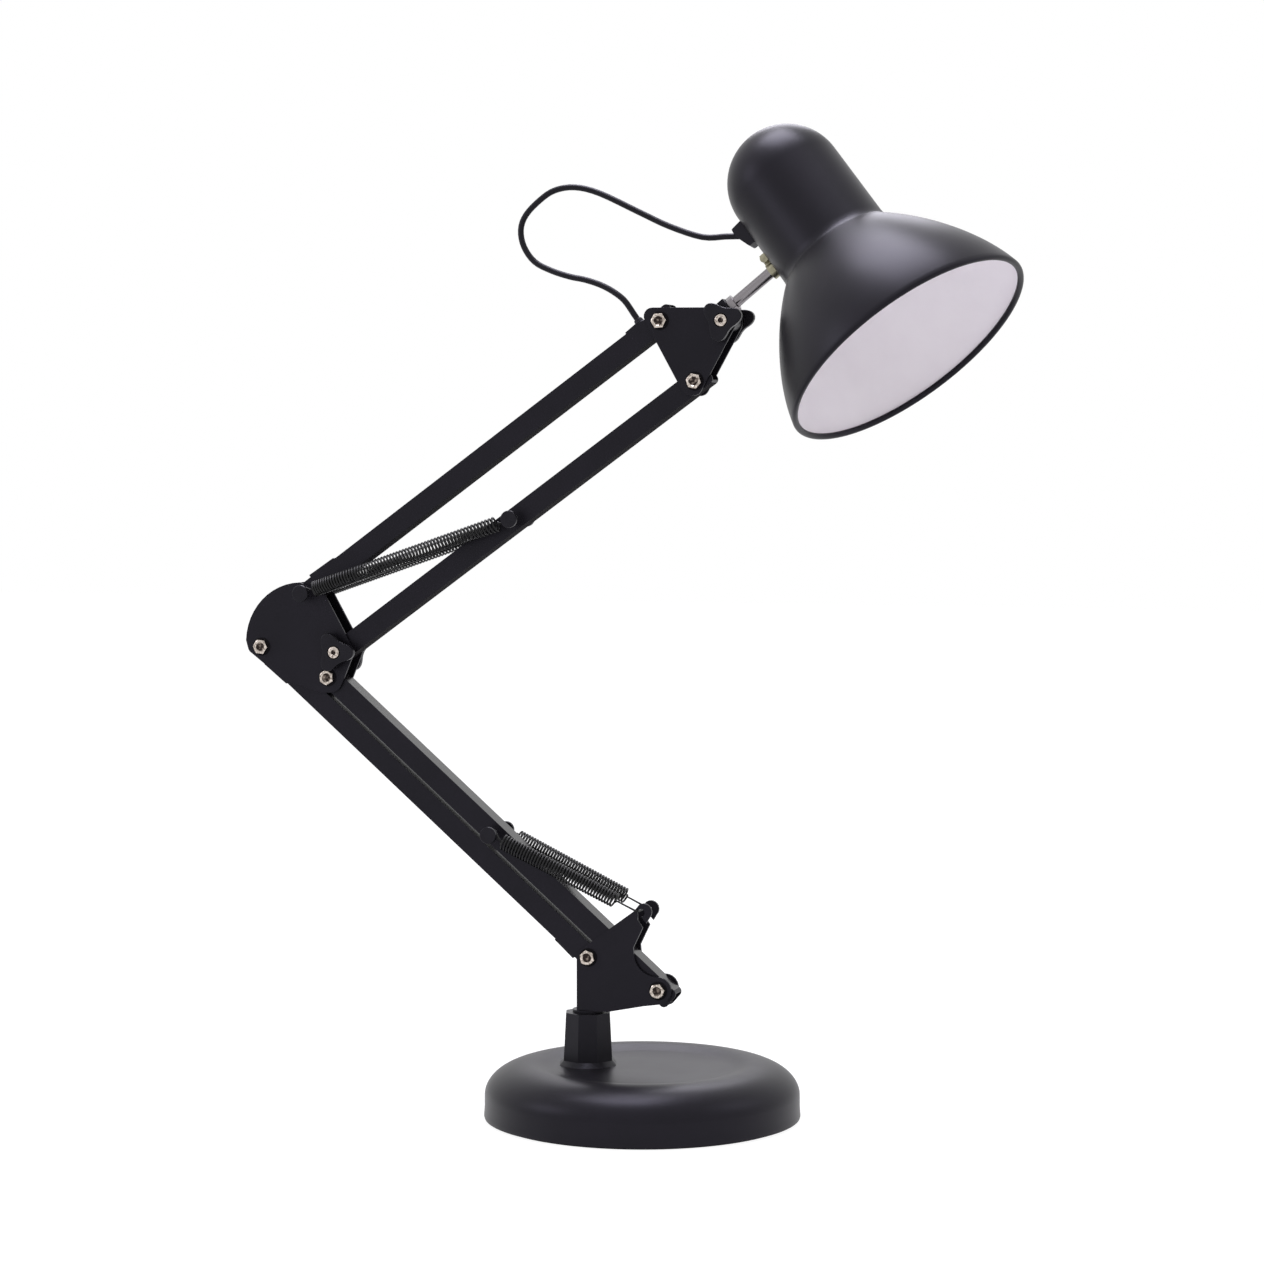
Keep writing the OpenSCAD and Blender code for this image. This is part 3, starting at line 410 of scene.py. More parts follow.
outline = [(base_r - lip_in, lip_z), (base_r - 0.3, 1.1)] + cover_line(0)
outline += [(dish_floor_r, dish_z), (pole, dish_z)]
outline += [(pole, dish_z - cover_t), (dish_floor_r, dish_z - cover_t)] + cover_line(cover_t)[::-1]
outline += [(base_r - cover_t, 1.1), (base_r - lip_in, lip_z)]
cover = turned("base_cover", outline, 128)

# Polyester powder coat on steel: satin black with a slight violet cast, a soft orange peel from the
# oven and a faint dusty haze. The peel is about 1.5 mm across.
powder_coat = new_material("powder_coated_steel")
where = add(powder_coat, "ShaderNodeTexCoord")
peel = add(
    powder_coat, "ShaderNodeTexNoise", {"Scale": per_mm(1.5), "Detail": 2.0},
    {"Vector": where.outputs["Object"]},
)
haze = add(
    powder_coat, "ShaderNodeTexNoise", {"Scale": per_mm(30), "Detail": 4.0},
    {"Vector": where.outputs["Object"]},
)
tone = add(powder_coat, "ShaderNodeValToRGB", {}, {"Fac": haze.outputs["Fac"]})
tone.color_ramp.elements[0].position, tone.color_ramp.elements[1].position = 0.3, 0.75
tone.color_ramp.elements[0].color, tone.color_ramp.elements[1].color = linear("#0f0e11"), linear("#151318")
sheen = add(
    powder_coat, "ShaderNodeMapRange", {"To Min": 0.34, "To Max": 0.42}, {"Value": haze.outputs["Fac"]},
)
relief = add(
    powder_coat, "ShaderNodeBump", {"Strength": 0.1, "Distance": 0.02 * MM},
    {"Height": peel.outputs["Fac"]},
)
shader = add(
    powder_coat, "ShaderNodeBsdfPrincipled",
    {"IOR": 1.5, "Specular IOR Level": 0.2, "Specular Tint": linear(violet_cast)},
    {
        "Base Color": tone.outputs["Color"], "Roughness": sheen.outputs["Result"],
        "Normal": relief.outputs["Normal"],
    },
)
add(powder_coat, "ShaderNodeOutputMaterial", {}, {"Surface": shader.outputs["BSDF"]})
dress(cover, "base_cover", powder_coat, "base", "black_enamel", "base_shell")


def coat(finish, *nodes):
    """Gives CAD nodes whose shape is right their real finish."""
    for node in nodes:
        for place in parts[node].material_slots:
            place.material = finish


# Sand-cast grey iron, dark and rough, with a 1 mm sand texture.
cast_iron = new_material("sand_cast_iron")
where = add(cast_iron, "ShaderNodeTexCoord")
sand = add(
    cast_iron, "ShaderNodeTexNoise", {"Scale": per_mm(1.0), "Detail": 5.0},
    {"Vector": where.outputs["Object"]},
)
tone = add(cast_iron, "ShaderNodeValToRGB", {}, {"Fac": sand.outputs["Fac"]})
tone.color_ramp.elements[0].color, tone.color_ramp.elements[1].color = linear("#3a3939"), linear("#5c5a58")
relief = add(
    cast_iron, "ShaderNodeBump", {"Strength": 0.6, "Distance": 0.2 * MM},
    {"Height": sand.outputs["Fac"]},
)
shader = add(
    cast_iron, "ShaderNodeBsdfPrincipled", {"Metallic": 0.6, "Roughness": 0.65},
    {"Base Color": tone.outputs["Color"], "Normal": relief.outputs["Normal"]},
)
add(cast_iron, "ShaderNodeOutputMaterial", {}, {"Surface": shader.outputs["BSDF"]})
coat(cast_iron, "base_weight")

# Foam rubber cut from sheet: matt charcoal, with its cut pores open and about 0.8 mm across.
foam_rubber = new_material("foam_rubber")
where = add(foam_rubber, "ShaderNodeTexCoord")
pores = add(
    foam_rubber, "ShaderNodeTexVoronoi", {"Scale": per_mm(0.8)}, {"Vector": where.outputs["Object"]},
)
tone = add(foam_rubber, "ShaderNodeValToRGB", {}, {"Fac": pores.outputs["Distance"]})
tone.color_ramp.elements[0].color, tone.color_ramp.elements[1].color = linear("#1c1b1d"), linear("#333235")
relief = add(
    foam_rubber, "ShaderNodeBump", {"Strength": 0.5, "Distance": 0.1 * MM},
    {"Height": pores.outputs["Distance"]},
)
shader = add(
    foam_rubber, "ShaderNodeBsdfPrincipled", {"Roughness": 0.9, "Specular IOR Level": 0.25},
    {"Base Color": tone.outputs["Color"], "Normal": relief.outputs["Normal"]},
)
add(foam_rubber, "ShaderNodeOutputMaterial", {}, {"Surface": shader.outputs["BSDF"]})
coat(foam_rubber, "base_pad")
coat(powder_coat, "base_plate")

# Zinc-plated steel: pale grey with a slightly cloudy passivated bloom, brushed by handling.
zinc_plate = new_material("zinc_plated_steel")
where = add(zinc_plate, "ShaderNodeTexCoord")
cloud = add(
    zinc_plate, "ShaderNodeTexNoise", {"Scale": per_mm(2.5), "Detail": 4.0},
    {"Vector": where.outputs["Object"]},
)
tone = add(zinc_plate, "ShaderNodeValToRGB", {}, {"Fac": cloud.outputs["Fac"]})
tone.color_ramp.elements[0].color, tone.color_ramp.elements[1].color = linear("#8e9094"), linear("#cfd0d2")
sheen = add(
    zinc_plate, "ShaderNodeMapRange", {"To Min": 0.25, "To Max": 0.42}, {"Value": cloud.outputs["Fac"]},
)
shader = add(
    zinc_plate, "ShaderNodeBsdfPrincipled", {"Metallic": 1.0},
    {"Base Color": tone.outputs["Color"], "Roughness": sheen.outputs["Result"]},
)
add(zinc_plate, "ShaderNodeOutputMaterial", {}, {"Surface": shader.outputs["BSDF"]})
coat(zinc_plate, "base_screws", "collar_bolt")
coat(powder_coat, "swivel_post")

# ---- Collar ----
# An eight-sided ABS moulding with soft corners and a flared foot, bolted to the base. The lower
# bracket's post turns in it.
rounded("collar", "swivel_collar", 0.9, 3, moulded_abs, "base", "black_plastic")

# ---- Brackets ----
# Punched steel plates, 1.5 mm thick, one each side of the bars, powder coated after their edges were
# tumbled smooth. The lower pair is joined by a web and stands on the swivel post.
for node, body in (
    ("lower_bracket", "lower_bracket"), ("elbow_plate_near", "elbow"), ("elbow_plate_far", "elbow"),
    ("head_plate_near", "head_bracket"), ("head_plate_far", "head_bracket"),
):
    rounded(node, node + "_dressed", 0.35, 2, powder_coat, body, "black_enamel")

# ---- Bars ----
# Square steel tube, 12.5 by 12 mm with 1 mm walls, its long corners rolled to a small radius and its
# ends milled round.


def long_corner(edge, mesh):
    """The four long outer corners of a bar."""
    end_edges_under, inner_wall_under = 60, 5.5
    a, b = (mesh.vertices[i].co for i in edge.vertices)
    return (a - b).length > end_edges_under * MM and abs(a.y) > inner_wall_under * MM


# Two copies of the same powder coat, put on by the way a face points: a matt one reflecting almost nothing
# paints shade under the upper bars, and a glossier one paints a highlight on the lower bars' upper sides.
painted_shade_coat, painted_highlight_coat = new_material("painted_shade_powder_coat"), new_material("painted_highlight_powder_coat")
for finish, grit_strength, roughness, level in ((painted_shade_coat, 0.3, 0.75, 0.03), (painted_highlight_coat, 0.05, 0.2, 0.5)):
    where = add(finish, "ShaderNodeTexCoord")
    grit = add(
        finish, "ShaderNodeTexNoise", {"Scale": per_mm(0.8), "Detail": 3.0},
        {"Vector": where.outputs["Object"]},
    )
    tone = add(finish, "ShaderNodeValToRGB", {}, {"Fac": grit.outputs["Fac"]})
    tone.color_ramp.elements[0].color = linear("#110f12")
    tone.color_ramp.elements[1].color = linear("#1c1a1d")
    relief = add(
        finish, "ShaderNodeBump", {"Strength": grit_strength, "Distance": 0.04 * MM},
        {"Height": grit.outputs["Fac"]},
    )
    shader = add(
        finish, "ShaderNodeBsdfPrincipled", {"Roughness": roughness, "Specular IOR Level": level},
        {"Base Color": tone.outputs["Color"], "Normal": relief.outputs["Normal"]},
    )
    add(finish, "ShaderNodeOutputMaterial", {}, {"Surface": shader.outputs["BSDF"]})

facing = 0.7
for node in ("lower_bar_rear", "lower_bar_front", "upper_bar_rear", "upper_bar_front"):
    bar = softened(node, node + "_dressed", 1.1, 3, long_corner)
    dress(bar, node + "_dressed", powder_coat, node, "black_enamel", node)
    upper = node.startswith("upper")
    bar.data.materials.append(painted_shade_coat if upper else painted_highlight_coat)
    # Faces that point down on the upper bars take the painted shade; up on the lower bars, the painted
    # highlight.
    for face in bar.data.polygons:
        if face.normal.z < -facing if upper else face.normal.z > facing:
            face.material_index = 1

# ---- Bolts, nuts and washers ----
# M5 bolts with plain round heads on the far side, and on the near side a nickel-plated hexagon nut on a thin
# washer painted near black as the shade round the nut, with the bolt's blackened end showing in its middle.

# Black oxide on steel: a warm brown-black, oiled and half bright, worn to bare metal in small spots.
# It also goes in the knob screws' recesses, as painted shade.
black_oxide_and_recess_shade = new_material("black_oxide_steel_and_recess_shade")
where = add(black_oxide_and_recess_shade, "ShaderNodeTexCoord")
wear = add(
    black_oxide_and_recess_shade, "ShaderNodeTexNoise", {"Scale": per_mm(1.6), "Detail": 3.0},
    {"Vector": where.outputs["Object"]},
)
tone = add(black_oxide_and_recess_shade, "ShaderNodeValToRGB", {}, {"Fac": wear.outputs["Fac"]})
tone.color_ramp.elements[0].position, tone.color_ramp.elements[1].position = 0.5, 0.72
tone.color_ramp.elements[0].color, tone.color_ramp.elements[1].color = linear("#2b2422"), linear("#9a8d83")
shader = add(
    black_oxide_and_recess_shade, "ShaderNodeBsdfPrincipled", {"Metallic": 1.0, "Roughness": 0.3},
    {"Base Color": tone.outputs["Color"]},
)
add(black_oxide_and_recess_shade, "ShaderNodeOutputMaterial", {}, {"Surface": shader.outputs["BSDF"]})
coat(black_oxide_and_recess_shade, "lower_bolts", "elbow_bolts", "head_bolts")
plate_face, washer_t, nut_h, nut_flats = 7.8, 0.6, 2.4, 8
washer_outline = [(2.6, 0), (5.0, 0), (5.4, 0.2), (5.4, 0.4), (5.1, washer_t), (2.6, washer_t), (2.6, 0)]
dome = turned("nut_form", [
    (2.55, 0), (4.3, 0), (4.75, 0.35), (4.75, 1.7), (4.1, 2.25), (3.5, nut_h), (2.9, nut_h), (2.55, 2.1),
    (2.55, 0),
], 48)
nut_corner_r = nut_flats / 2 / math.cos(math.radians(30))
deselect()
bpy.ops.mesh.primitive_cylinder_add(vertices=6, radius=nut_corner_r * MM, depth=8 * MM)
hexagon = bpy.context.object
cut = dome.modifiers.new("flats", "BOOLEAN")
cut.operation, cut.solver, cut.object = "INTERSECT", "EXACT", hexagon
pick(dome)
bpy.ops.object.modifier_apply(modifier=cut.name)
bpy.ops.object.shade_smooth_by_angle(angle=math.radians(30))
bpy.data.objects.remove(hexagon)
washer = turned("washer_form", washer_outline, 48)


def copy_of(obj, name):
    """A copy with its own mesh."""
    made = bpy.data.objects.new(name, obj.data.copy())
    bpy.context.scene.collection.objects.link(made)
    return made


def near_side(x, z, turn):
    """Places a shape made round +Z on the near plate's face, pointing at the camera's side."""
    return (
        Matrix.Translation(Vector((x, -plate_face, z)) * MM) @ Matrix.Rotation(math.radians(90), 4, "X")
        @ Matrix.Rotation(math.radians(turn), 4, "Z")
    )


def middle(node):
    """The middle of a CAD node's box, in millimetres."""
    low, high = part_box(node)
    return (low + high) / 2 / MM


# The bolts' places as x and z, on the rear bar first. The head's are on the upper bars, c and d.
lower_a, lower_b = (-30.7, 93.7), (12.1, 76.1)
elbow_a, elbow_b = (-237.06, 271.82), (-194.26, 254.22)
head_c, head_d = (12.74, 463.78), (33.74, 429.08)
for name, place, turn, body, node in (
    ("lower_rear", lower_a, 12, "lower_bracket", "lower_nuts"),
    ("lower_front", lower_b, 40, "lower_bracket", "lower_nuts"),
    ("elbow_rear", elbow_a, 25, "elbow", "elbow_nuts"),
    ("elbow_front", elbow_b, 3, "elbow", "elbow_nuts"),
    ("head_rear", head_c, 33, "head_bracket", "head_nuts"),
    ("head_front", head_d, 18, "head_bracket", "head_nuts"),
):
    nut = copy_of(dome, name + "_nut")
    put(nut, near_side(*place, turn) @ Matrix.Translation((0, 0, washer_t * MM)))
    dress(nut, name + "_nut", nickel_plate, body, "nickel", node)
    ring = put(copy_of(washer, name + "_washer"), near_side(*place, turn))
    # The washer takes the matt copy of the coat as painted shade round the nut.
    dress(ring, name + "_washer", painted_shade_coat, body, "nickel", node)
bpy.data.objects.remove(dome)
bpy.data.objects.remove(washer)

# ---- Clamp knobs ----
# Three-lobed ABS knobs with rounded lobes, one each side of both clamp pivots. A nickel-plated screw
# runs from each near knob through to the far one, the recess in its head painted dark as shade.
for node in ("elbow_knob", "elbow_knob_far", "head_knob", "head_knob_far"):
    rounded(node, node + "_dressed", 0.9, 3, moulded_abs, node, "black_plastic")
shank_r, shank_start, shank_chamfer, head_at, head_r, recess_r = 2.5, -21.7, 0.4, 6.5, 3.7, 1.4
screw_outline = [
    (pole, shank_start), (shank_r - shank_chamfer, shank_start), (shank_r, shank_start + shank_chamfer),
    (shank_r, head_at), (head_r, head_at), (head_r, 7.2), (3.4, 7.7), (2.7, 7.95), (1.6, 8.0),
    (recess_r, 7.8), (1.25, 7.0), (pole, 6.7),
]
for node, body, place in (
    ("elbow_knob_screw", "elbow_knob", (-187.36, 269.62)), ("head_knob_screw", "head_knob", (51.34, 463.38)),
):
    screw = turned(node + "_dressed", screw_outline, 32)
    # The faces inside the head's recess, to be painted dark as shade.
    shaded_recess_faces = [
        f.index for f in screw.data.polygons
        if f.center.z > head_at * MM and f.center.xy.length < recess_r * MM
    ]
    put(screw, near_side(*place, 0))
    dress(screw, node + "_dressed", nickel_plate, body, "nickel", node)
    screw.data.materials.append(black_oxide_and_recess_shade)
    for i in shaded_recess_faces:
        screw.data.polygons[i].material_index = 1

# ---- Springs, pins and caps ----
# Close-wound extension springs of black phosphated wire, one each side of both arms. Eyes hold
# them on zinc-plated pins, which end in moulded ABS caps, and the lower ones have a straight end that
# hooks into the bracket.
coat(zinc_plate, "lower_spring_pin", "upper_spring_pin", "elbow_pin")
for node, body in (
    ("lower_pin_caps", "lower_bar_front"), ("upper_pin_caps", "upper_bar_front"), ("elbow_pin_caps", "elbow"),
):
    rounded(node, node + "_dressed", 0.7, 3, moulded_abs, body, "black_plastic")

# Phosphated and oiled spring steel: almost black, with a soft metallic glint along each turn.
spring_steel = new_material("black_phosphated_spring_steel")
where = add(spring_steel, "ShaderNodeTexCoord")
oil = add(
    spring_steel, "ShaderNodeTexNoise", {"Scale": per_mm(3), "Detail": 3.0},
    {"Vector": where.outputs["Object"]},
)
tone = add(spring_steel, "ShaderNodeValToRGB", {}, {"Fac": oil.outputs["Fac"]})
tone.color_ramp.elements[0].color, tone.color_ramp.elements[1].color = linear("#060607"), linear("#101012")
sheen = add(
    spring_steel, "ShaderNodeMapRange", {"To Min": 0.3, "To Max": 0.45}, {"Value": oil.outputs["Fac"]},
)
shader = add(
    spring_steel, "ShaderNodeBsdfPrincipled", {"Metallic": 0.15, "Specular IOR Level": 0.35},
    {"Base Color": tone.outputs["Color"], "Roughness": sheen.outputs["Result"]},
)
add(spring_steel, "ShaderNodeOutputMaterial", {}, {"Surface": shader.outputs["BSDF"]})

wire_r, spring_r, eye_r, spring_y, hook_y = 0.6, 4.2, 3.25, 12.9, 9.4


def spring_line(length, run_in, run_out, hooked, turns, spread):
    """A spring's centre line along +Z: an eye or a hooked end, the turns, and an eye at the far end.

    With spread above 1 the turns are closer together at the start."""
    eye_turn = [math.radians(a) for a in range(120, 361, 20)]
    eye = [(eye_r * math.cos(a), 0, eye_r * math.sin(a)) for a in eye_turn]
    eye += [(0.75 * eye_r, 0, 1.1 * eye_r), (0.2 * eye_r, 0, 1.7 * eye_r)]
    hook = [(0, -9.8, 0), (0, -1.6, 0), (0, -0.8, 0.2), (0, -0.2, 0.8), (0, 0, 1.6)]
    first = (hook if hooked else eye) + [(0, 0, run_in)]
    coils, steps_in_turn = [], 14
    half_turn = steps_in_turn / 2
    count = int(turns * steps_in_turn)
    for i in range(1, count):
        r = spring_r * min(1, i / half_turn, (count - i) / half_turn)
        a = 2 * math.pi * i / steps_in_turn
        z = run_in + (length - run_in - run_out) * (i / count) ** spread
        coils.append((r * math.cos(a), r * math.sin(a), z))
    last = [(-x, y, length - z) for x, y, z in eye + [(0, 0, run_out)]][::-1]
    return first + coils + last


def make_spring(name, start, end, line):
    """Lays a spring's line from start to end and sweeps the wire along it."""
    up = (end - start).normalized()
    side = Vector((0, 1, 0)) - up * up.y
    side = side.normalized() * math.copysign(1, start.y)
    across = side.cross(up)
    return tube(name, [start + x * across + y * side + z * up for x, y, z in line], wire_r, 8)


pin_nodes = ("lower_spring_pin", "upper_spring_pin", "elbow_pin")
lower_pin, upper_pin, elbow_pin = (middle(node) for node in pin_nodes)
hook_middle, past_hook = Vector((1.6, 0, 121.3)), 1.7
hook_at = hook_middle + past_hook * (lower_pin - hook_middle).normalized()
lower_turns, upper_turns, even_spread, upper_spread = 42.25, 62, 1.0, 1.15
hook_run, eye_run, lower_held, upper_held = 14, 8, 0.06, 0.05
for side_name, s in (("near", -1), ("far", 1)):
    at_hook, at_pin = Vector((0, s * hook_y, 0)), Vector((0, s * spring_y, 0))
    for arm, start, end, run_in, turns, spread, body_a, body_b, held in (
        ("lower", hook_at + at_hook, lower_pin + at_pin, hook_run, lower_turns, even_spread,
         "lower_bracket", "lower_bar_front", lower_held),
        ("upper", elbow_pin + at_pin, upper_pin + at_pin, eye_run, upper_turns, upper_spread,
         "elbow", "upper_bar_front", upper_held),
    ):
        line = spring_line((end - start).length, run_in, eye_run, arm == "lower", turns, spread)
        spring = make_spring(f"{arm}_spring_{side_name}", start, end, line)
        dress(spring, f"{arm}_spring_{side_name}", spring_steel, None, "spring_wire", f"{arm}_springs")
        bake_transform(spring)

# ---- Leads inside the arms ----
# The same lead lies on the lower wall inside each rear bar. In the upper bar it rises to a moulded
# bush near the head, where it comes out.
bar_half, bar_wall = 6.25, 1
lay_z = -bar_half + bar_wall + lead_r + 0.05


def along_bar(pivot, degrees, p):
    """A point given along, across and above a bar's line, from its first pivot."""
    c, s = math.cos(math.radians(degrees)), math.sin(math.radians(degrees))
    return Vector((pivot[0] + p[0] * c - p[2] * s, p[1], pivot[1] + p[0] * s + p[2] * c))


bar_l, entry_back, end_gap, straight_steps = 272.6, 12, 8, 8
entry = bar_l - entry_back
# The upper rear bar's first pivot, and both arms' angles from +X.
upper_c = (-208.36, 304.32)
lower_angle, upper_angle = 139.2, 35.8
rise = [
    (end_gap, 0, lay_z), (100, 0, lay_z), (entry - 30, 0, lay_z), (entry - 16, 0, lay_z + 0.1),
    (entry - 7, 0, lay_z + 2), (entry - 1.5, 0, 0.8), (entry, 0, 4.05),
]
upper_run = smooth([along_bar(upper_c, upper_angle, p) for p in rise], 4)
lower_run = [
    along_bar(lower_a, lower_angle, (end_gap + i / straight_steps * (bar_l - 2 * end_gap), 0, lay_z))
    for i in range(straight_steps + 1)
]
for name, node, body, line in (
    ("upper_inner_lead", "lead_upper", "upper_bar_rear", upper_run),
    ("lower_inner_lead", "lead_lower", "lower_bar_rear", lower_run),
):
    inner = tube(name, line, lead_r)
    dress(inner, name, pvc_sheath, body, "lead_pvc", node)
rounded("lead_bush", "bar_bush", 0.3, 2, moulded_abs, "upper_bar_rear", "black_plastic")

# ---- Lead guides ----
# A thin moulded guide snaps on to the outer side of each rear bar at both ends, where the lead passes.
# Each is a tongue that thins towards the middle of the bar. Its root and tip are given along the bar
# from the bar's first pivot.
guide_w, guide_root_t, guide_tip_t, guide_edge = 9.6, 1.8, 1.2, 0.3
for name, body, pivot, degrees, root, tip in (
    ("bracket_lead_guide", "lower_bar_rear", lower_a, lower_angle, 7, 22.5),
    ("elbow_lead_guide_lower", "lower_bar_rear", lower_a, lower_angle, bar_l - 7, bar_l - 25.5),
    ("elbow_lead_guide_upper", "upper_bar_rear", upper_c, upper_angle, 7, 25.8),
    ("head_lead_guide", "upper_bar_rear", upper_c, upper_angle, bar_l - 11, bar_l - 21.5),
):
    deselect()
    bpy.ops.mesh.primitive_cube_add(size=1)
    guide = bpy.context.object
    for v in guide.data.vertices:
        at_root = v.co.x < 0
        thick = guide_root_t if at_root else guide_tip_t
        height = bar_half + (thick if v.co.z > 0 else 0)
        v.co = along_bar(pivot, degrees, (root if at_root else tip, v.co.y * guide_w, height)) * MM
    bpy.ops.object.mode_set(mode="EDIT")
    bpy.ops.mesh.select_all(action="SELECT")
    bpy.ops.mesh.bevel(offset=guide_edge * MM, segments=2, affect="EDGES")
    bpy.ops.mesh.normals_make_consistent(inside=False)
    bpy.ops.object.mode_set(mode="OBJECT")
    dress(guide, name, moulded_abs, body, "black_plastic")

# ---- Lead loop at the head ----
# The free stretch from the shade's strain relief over the head and back down into the upper rear
# bar. It is held at both ends.
nose = Vector((54.1, 6.4, 512))
loop = [nose + Vector((3, 0, 0)), nose] + [Vector(p) for p in (
    (48, 6.4, 512), (34, 6.8, 512), (14.2, 7, 518.5), (-3.8, 6.9, 526.9), (-28, 6.5, 538.4),
    (-43, 6, 542.2), (-55.1, 5.4, 540.7), (-64.2, 5, 535.2), (-72.7, 4.5, 526.7), (-75.7, 4, 518.1),
    (-73.6, 3.5, 508.2), (-66.8, 3, 499.3), (-56.1, 2.5, 493.9), (-44.8, 2, 490.3), (-35.6, 1.5, 488.4),
    (-26.2, 1, 485.4), (-18.2, 0.6, 481.4), (-11, 0.2, 476),
)] + [along_bar(upper_c, upper_angle, (entry, 0, z)) for z in (14.25, 10.55, 6.75)]
pieces_each = 4
loop_line = smooth(loop, pieces_each)
along_x, along_z = Vector((1, 0, 0)), Vector((0, 0, 1))
# Each piece has its own axis and pair of bodies, and start and end at the points held_a after its first and
# held_b before its last.
for name, first, last, held_a, held_b, axis, body_a, body_b in (
    ("head_lead_shade_end", 0, 4, 5, 0, along_x, "shade", "head_arm"),
    ("head_lead_crest", 4, 7, 0, 0, along_x, "head_arm", "head_bracket"),
    ("head_lead_bar_end", 7, len(loop) - 1, 0, 8, along_z, "head_bracket", "upper_bar_rear"),
):
    span = loop_line[max(0, first * pieces_each - 1) : last * pieces_each + 2]
    piece = tube(name, span, lead_r)
    dress(piece, name, pvc_sheath, None, "lead_pvc", "lead_loop")
    start, end = span[held_a], span[-1 - held_b]
    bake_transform(piece)

# ---- Head rod ----
# A chromed steel rod screwed into a steel block that the head knobs clamp, locked by a hexagon nut.
# The block is powder coated and tilts between the head's plates.

# Chrome plate on steel: smooth, cool and rather dark, with cloudy wiping marks about 6 mm across.
chrome = new_material("chromed_steel")
where = add(chrome, "ShaderNodeTexCoord")
wipe = add(
    chrome, "ShaderNodeTexNoise", {"Scale": per_mm(6), "Detail": 3.0},
    {"Vector": where.outputs["Object"]},
)
sheen = add(chrome, "ShaderNodeMapRange", {"To Min": 0.16, "To Max": 0.28}, {"Value": wipe.outputs["Fac"]})
shader = add(
    chrome, "ShaderNodeBsdfPrincipled", {"Metallic": 1.0, "Base Color": linear("#858184")},
    {"Roughness": sheen.outputs["Result"]},
)
add(chrome, "ShaderNodeOutputMaterial", {}, {"Surface": shader.outputs["BSDF"]})
rod_r, rod_start, rod_stop, rod_chamfer = 3.3, 3, 48.5, 0.6
head_pivot, rod_angle, rod_off = Vector((51.339, 0, 463.382)), math.radians(39), 5.3
rod = turned("round_head_rod", [
    (pole, rod_start), (rod_r - rod_chamfer, rod_start), (rod_r, rod_start + rod_chamfer),
    (rod_r, rod_stop - rod_chamfer), (rod_r - rod_chamfer, rod_stop), (pole, rod_stop),
], 48)
put(
    rod,
    Matrix.Translation(head_pivot * MM) @ Matrix.Rotation(-rod_angle, 4, "Y")
    @ Matrix.Translation((0, 0, rod_off * MM)) @ Matrix.Rotation(math.radians(90), 4, "Y"),
)
dress(rod, "round_head_rod", chrome, "head_arm", "rod_chrome", "head_rod")
rounded("rod_nut", "rod_lock_nut", 0.4, 2, chrome, "head_arm", "rod_chrome")
rounded("head_block", "clamp_block", 0.8, 3, powder_coat, "head_arm", "block_steel")

# ---- Shade ----
# A spun steel bell and round-topped neck in one sheet, with a rolled bead at the rim. It is powder
# coated black outside and enamelled white inside.
rim_r, neck_r, rim_drop, dome_rise, bell_h, shade_t, bead_r = 77, 33.9, 91.3, 35.5, 78, 1, 1.8
shade_turn, neck_out = math.radians(-11.7), 40.5
neck_place = (
    Matrix.Translation(head_pivot * MM) @ Matrix.Rotation(-rod_angle, 4, "Y")
    @ Matrix.Translation(Vector((neck_out, 0, rod_off)) * MM) @ Matrix.Rotation(shade_turn, 4, "X")
)


def shade_line(inset):
    """The shade's section from the rim to the top of the dome, moved in by inset.

    The bell is one cubic curve through the pulls a to d, then a small fillet turns it into the neck."""
    bell_steps = 36
    a, b = Vector((rim_r - inset, bead_r)), Vector((rim_r - 5.5 - inset, bell_h * 0.36))
    c, d = Vector((neck_r + 17.5 - inset, bell_h * 0.73)), Vector((neck_r + 1.6 - inset, bell_h - 6))
    line = []
    for i in range(bell_steps + 1):
        t = i / bell_steps
        line.append((1 - t) ** 3 * a + 3 * (1 - t) ** 2 * t * b + 3 * (1 - t) * t * t * c + t**3 * d)
    for out, below in ((0.95, 4.8), (0.4, 3), (0, 0)):
        line.append(Vector((neck_r + out - inset, bell_h - below)))
    top = rim_drop + dome_rise
    for angle in range(0, 90, 4):
        t = math.radians(angle)
        line.append(Vector(((neck_r - inset) * math.cos(t), top + (neck_r - inset) * math.sin(t))))
    return [tuple(p) for p in line] + [(pole, top + neck_r - inset)]


bead = [math.radians(-a) for a in range(20, 281, 20)]
bead_line = [(rim_r - bead_r + bead_r * math.cos(a), bead_r + bead_r * math.sin(a)) for a in bead]
inner_line = [p for p in shade_line(shade_t) if p[1] > 2 * bead_r]
shade_outline = shade_line(0)[::-1] + bead_line + inner_line + [shade_line(0)[-1]]
shade = turned("bell_shade", shade_outline, 128)

# Stoved vitreous-looking white enamel inside the shade: smooth, half gloss, the faintest lilac.
white_enamel = new_material("white_stoved_enamel")
where = add(white_enamel, "ShaderNodeTexCoord")
flow = add(
    white_enamel, "ShaderNodeTexNoise", {"Scale": per_mm(18), "Detail": 3.0},
    {"Vector": where.outputs["Object"]},
)
tone = add(white_enamel, "ShaderNodeValToRGB", {}, {"Fac": flow.outputs["Fac"]})
tone.color_ramp.elements[0].color, tone.color_ramp.elements[1].color = linear("#efe9ee"), linear("#f7f3f6")
sheen = add(
    white_enamel, "ShaderNodeMapRange", {"To Min": 0.3, "To Max": 0.42}, {"Value": flow.outputs["Fac"]},
)
relief = add(
    white_enamel, "ShaderNodeBump", {"Strength": 0.15, "Distance": 0.05 * MM},
    {"Height": flow.outputs["Fac"]},
)
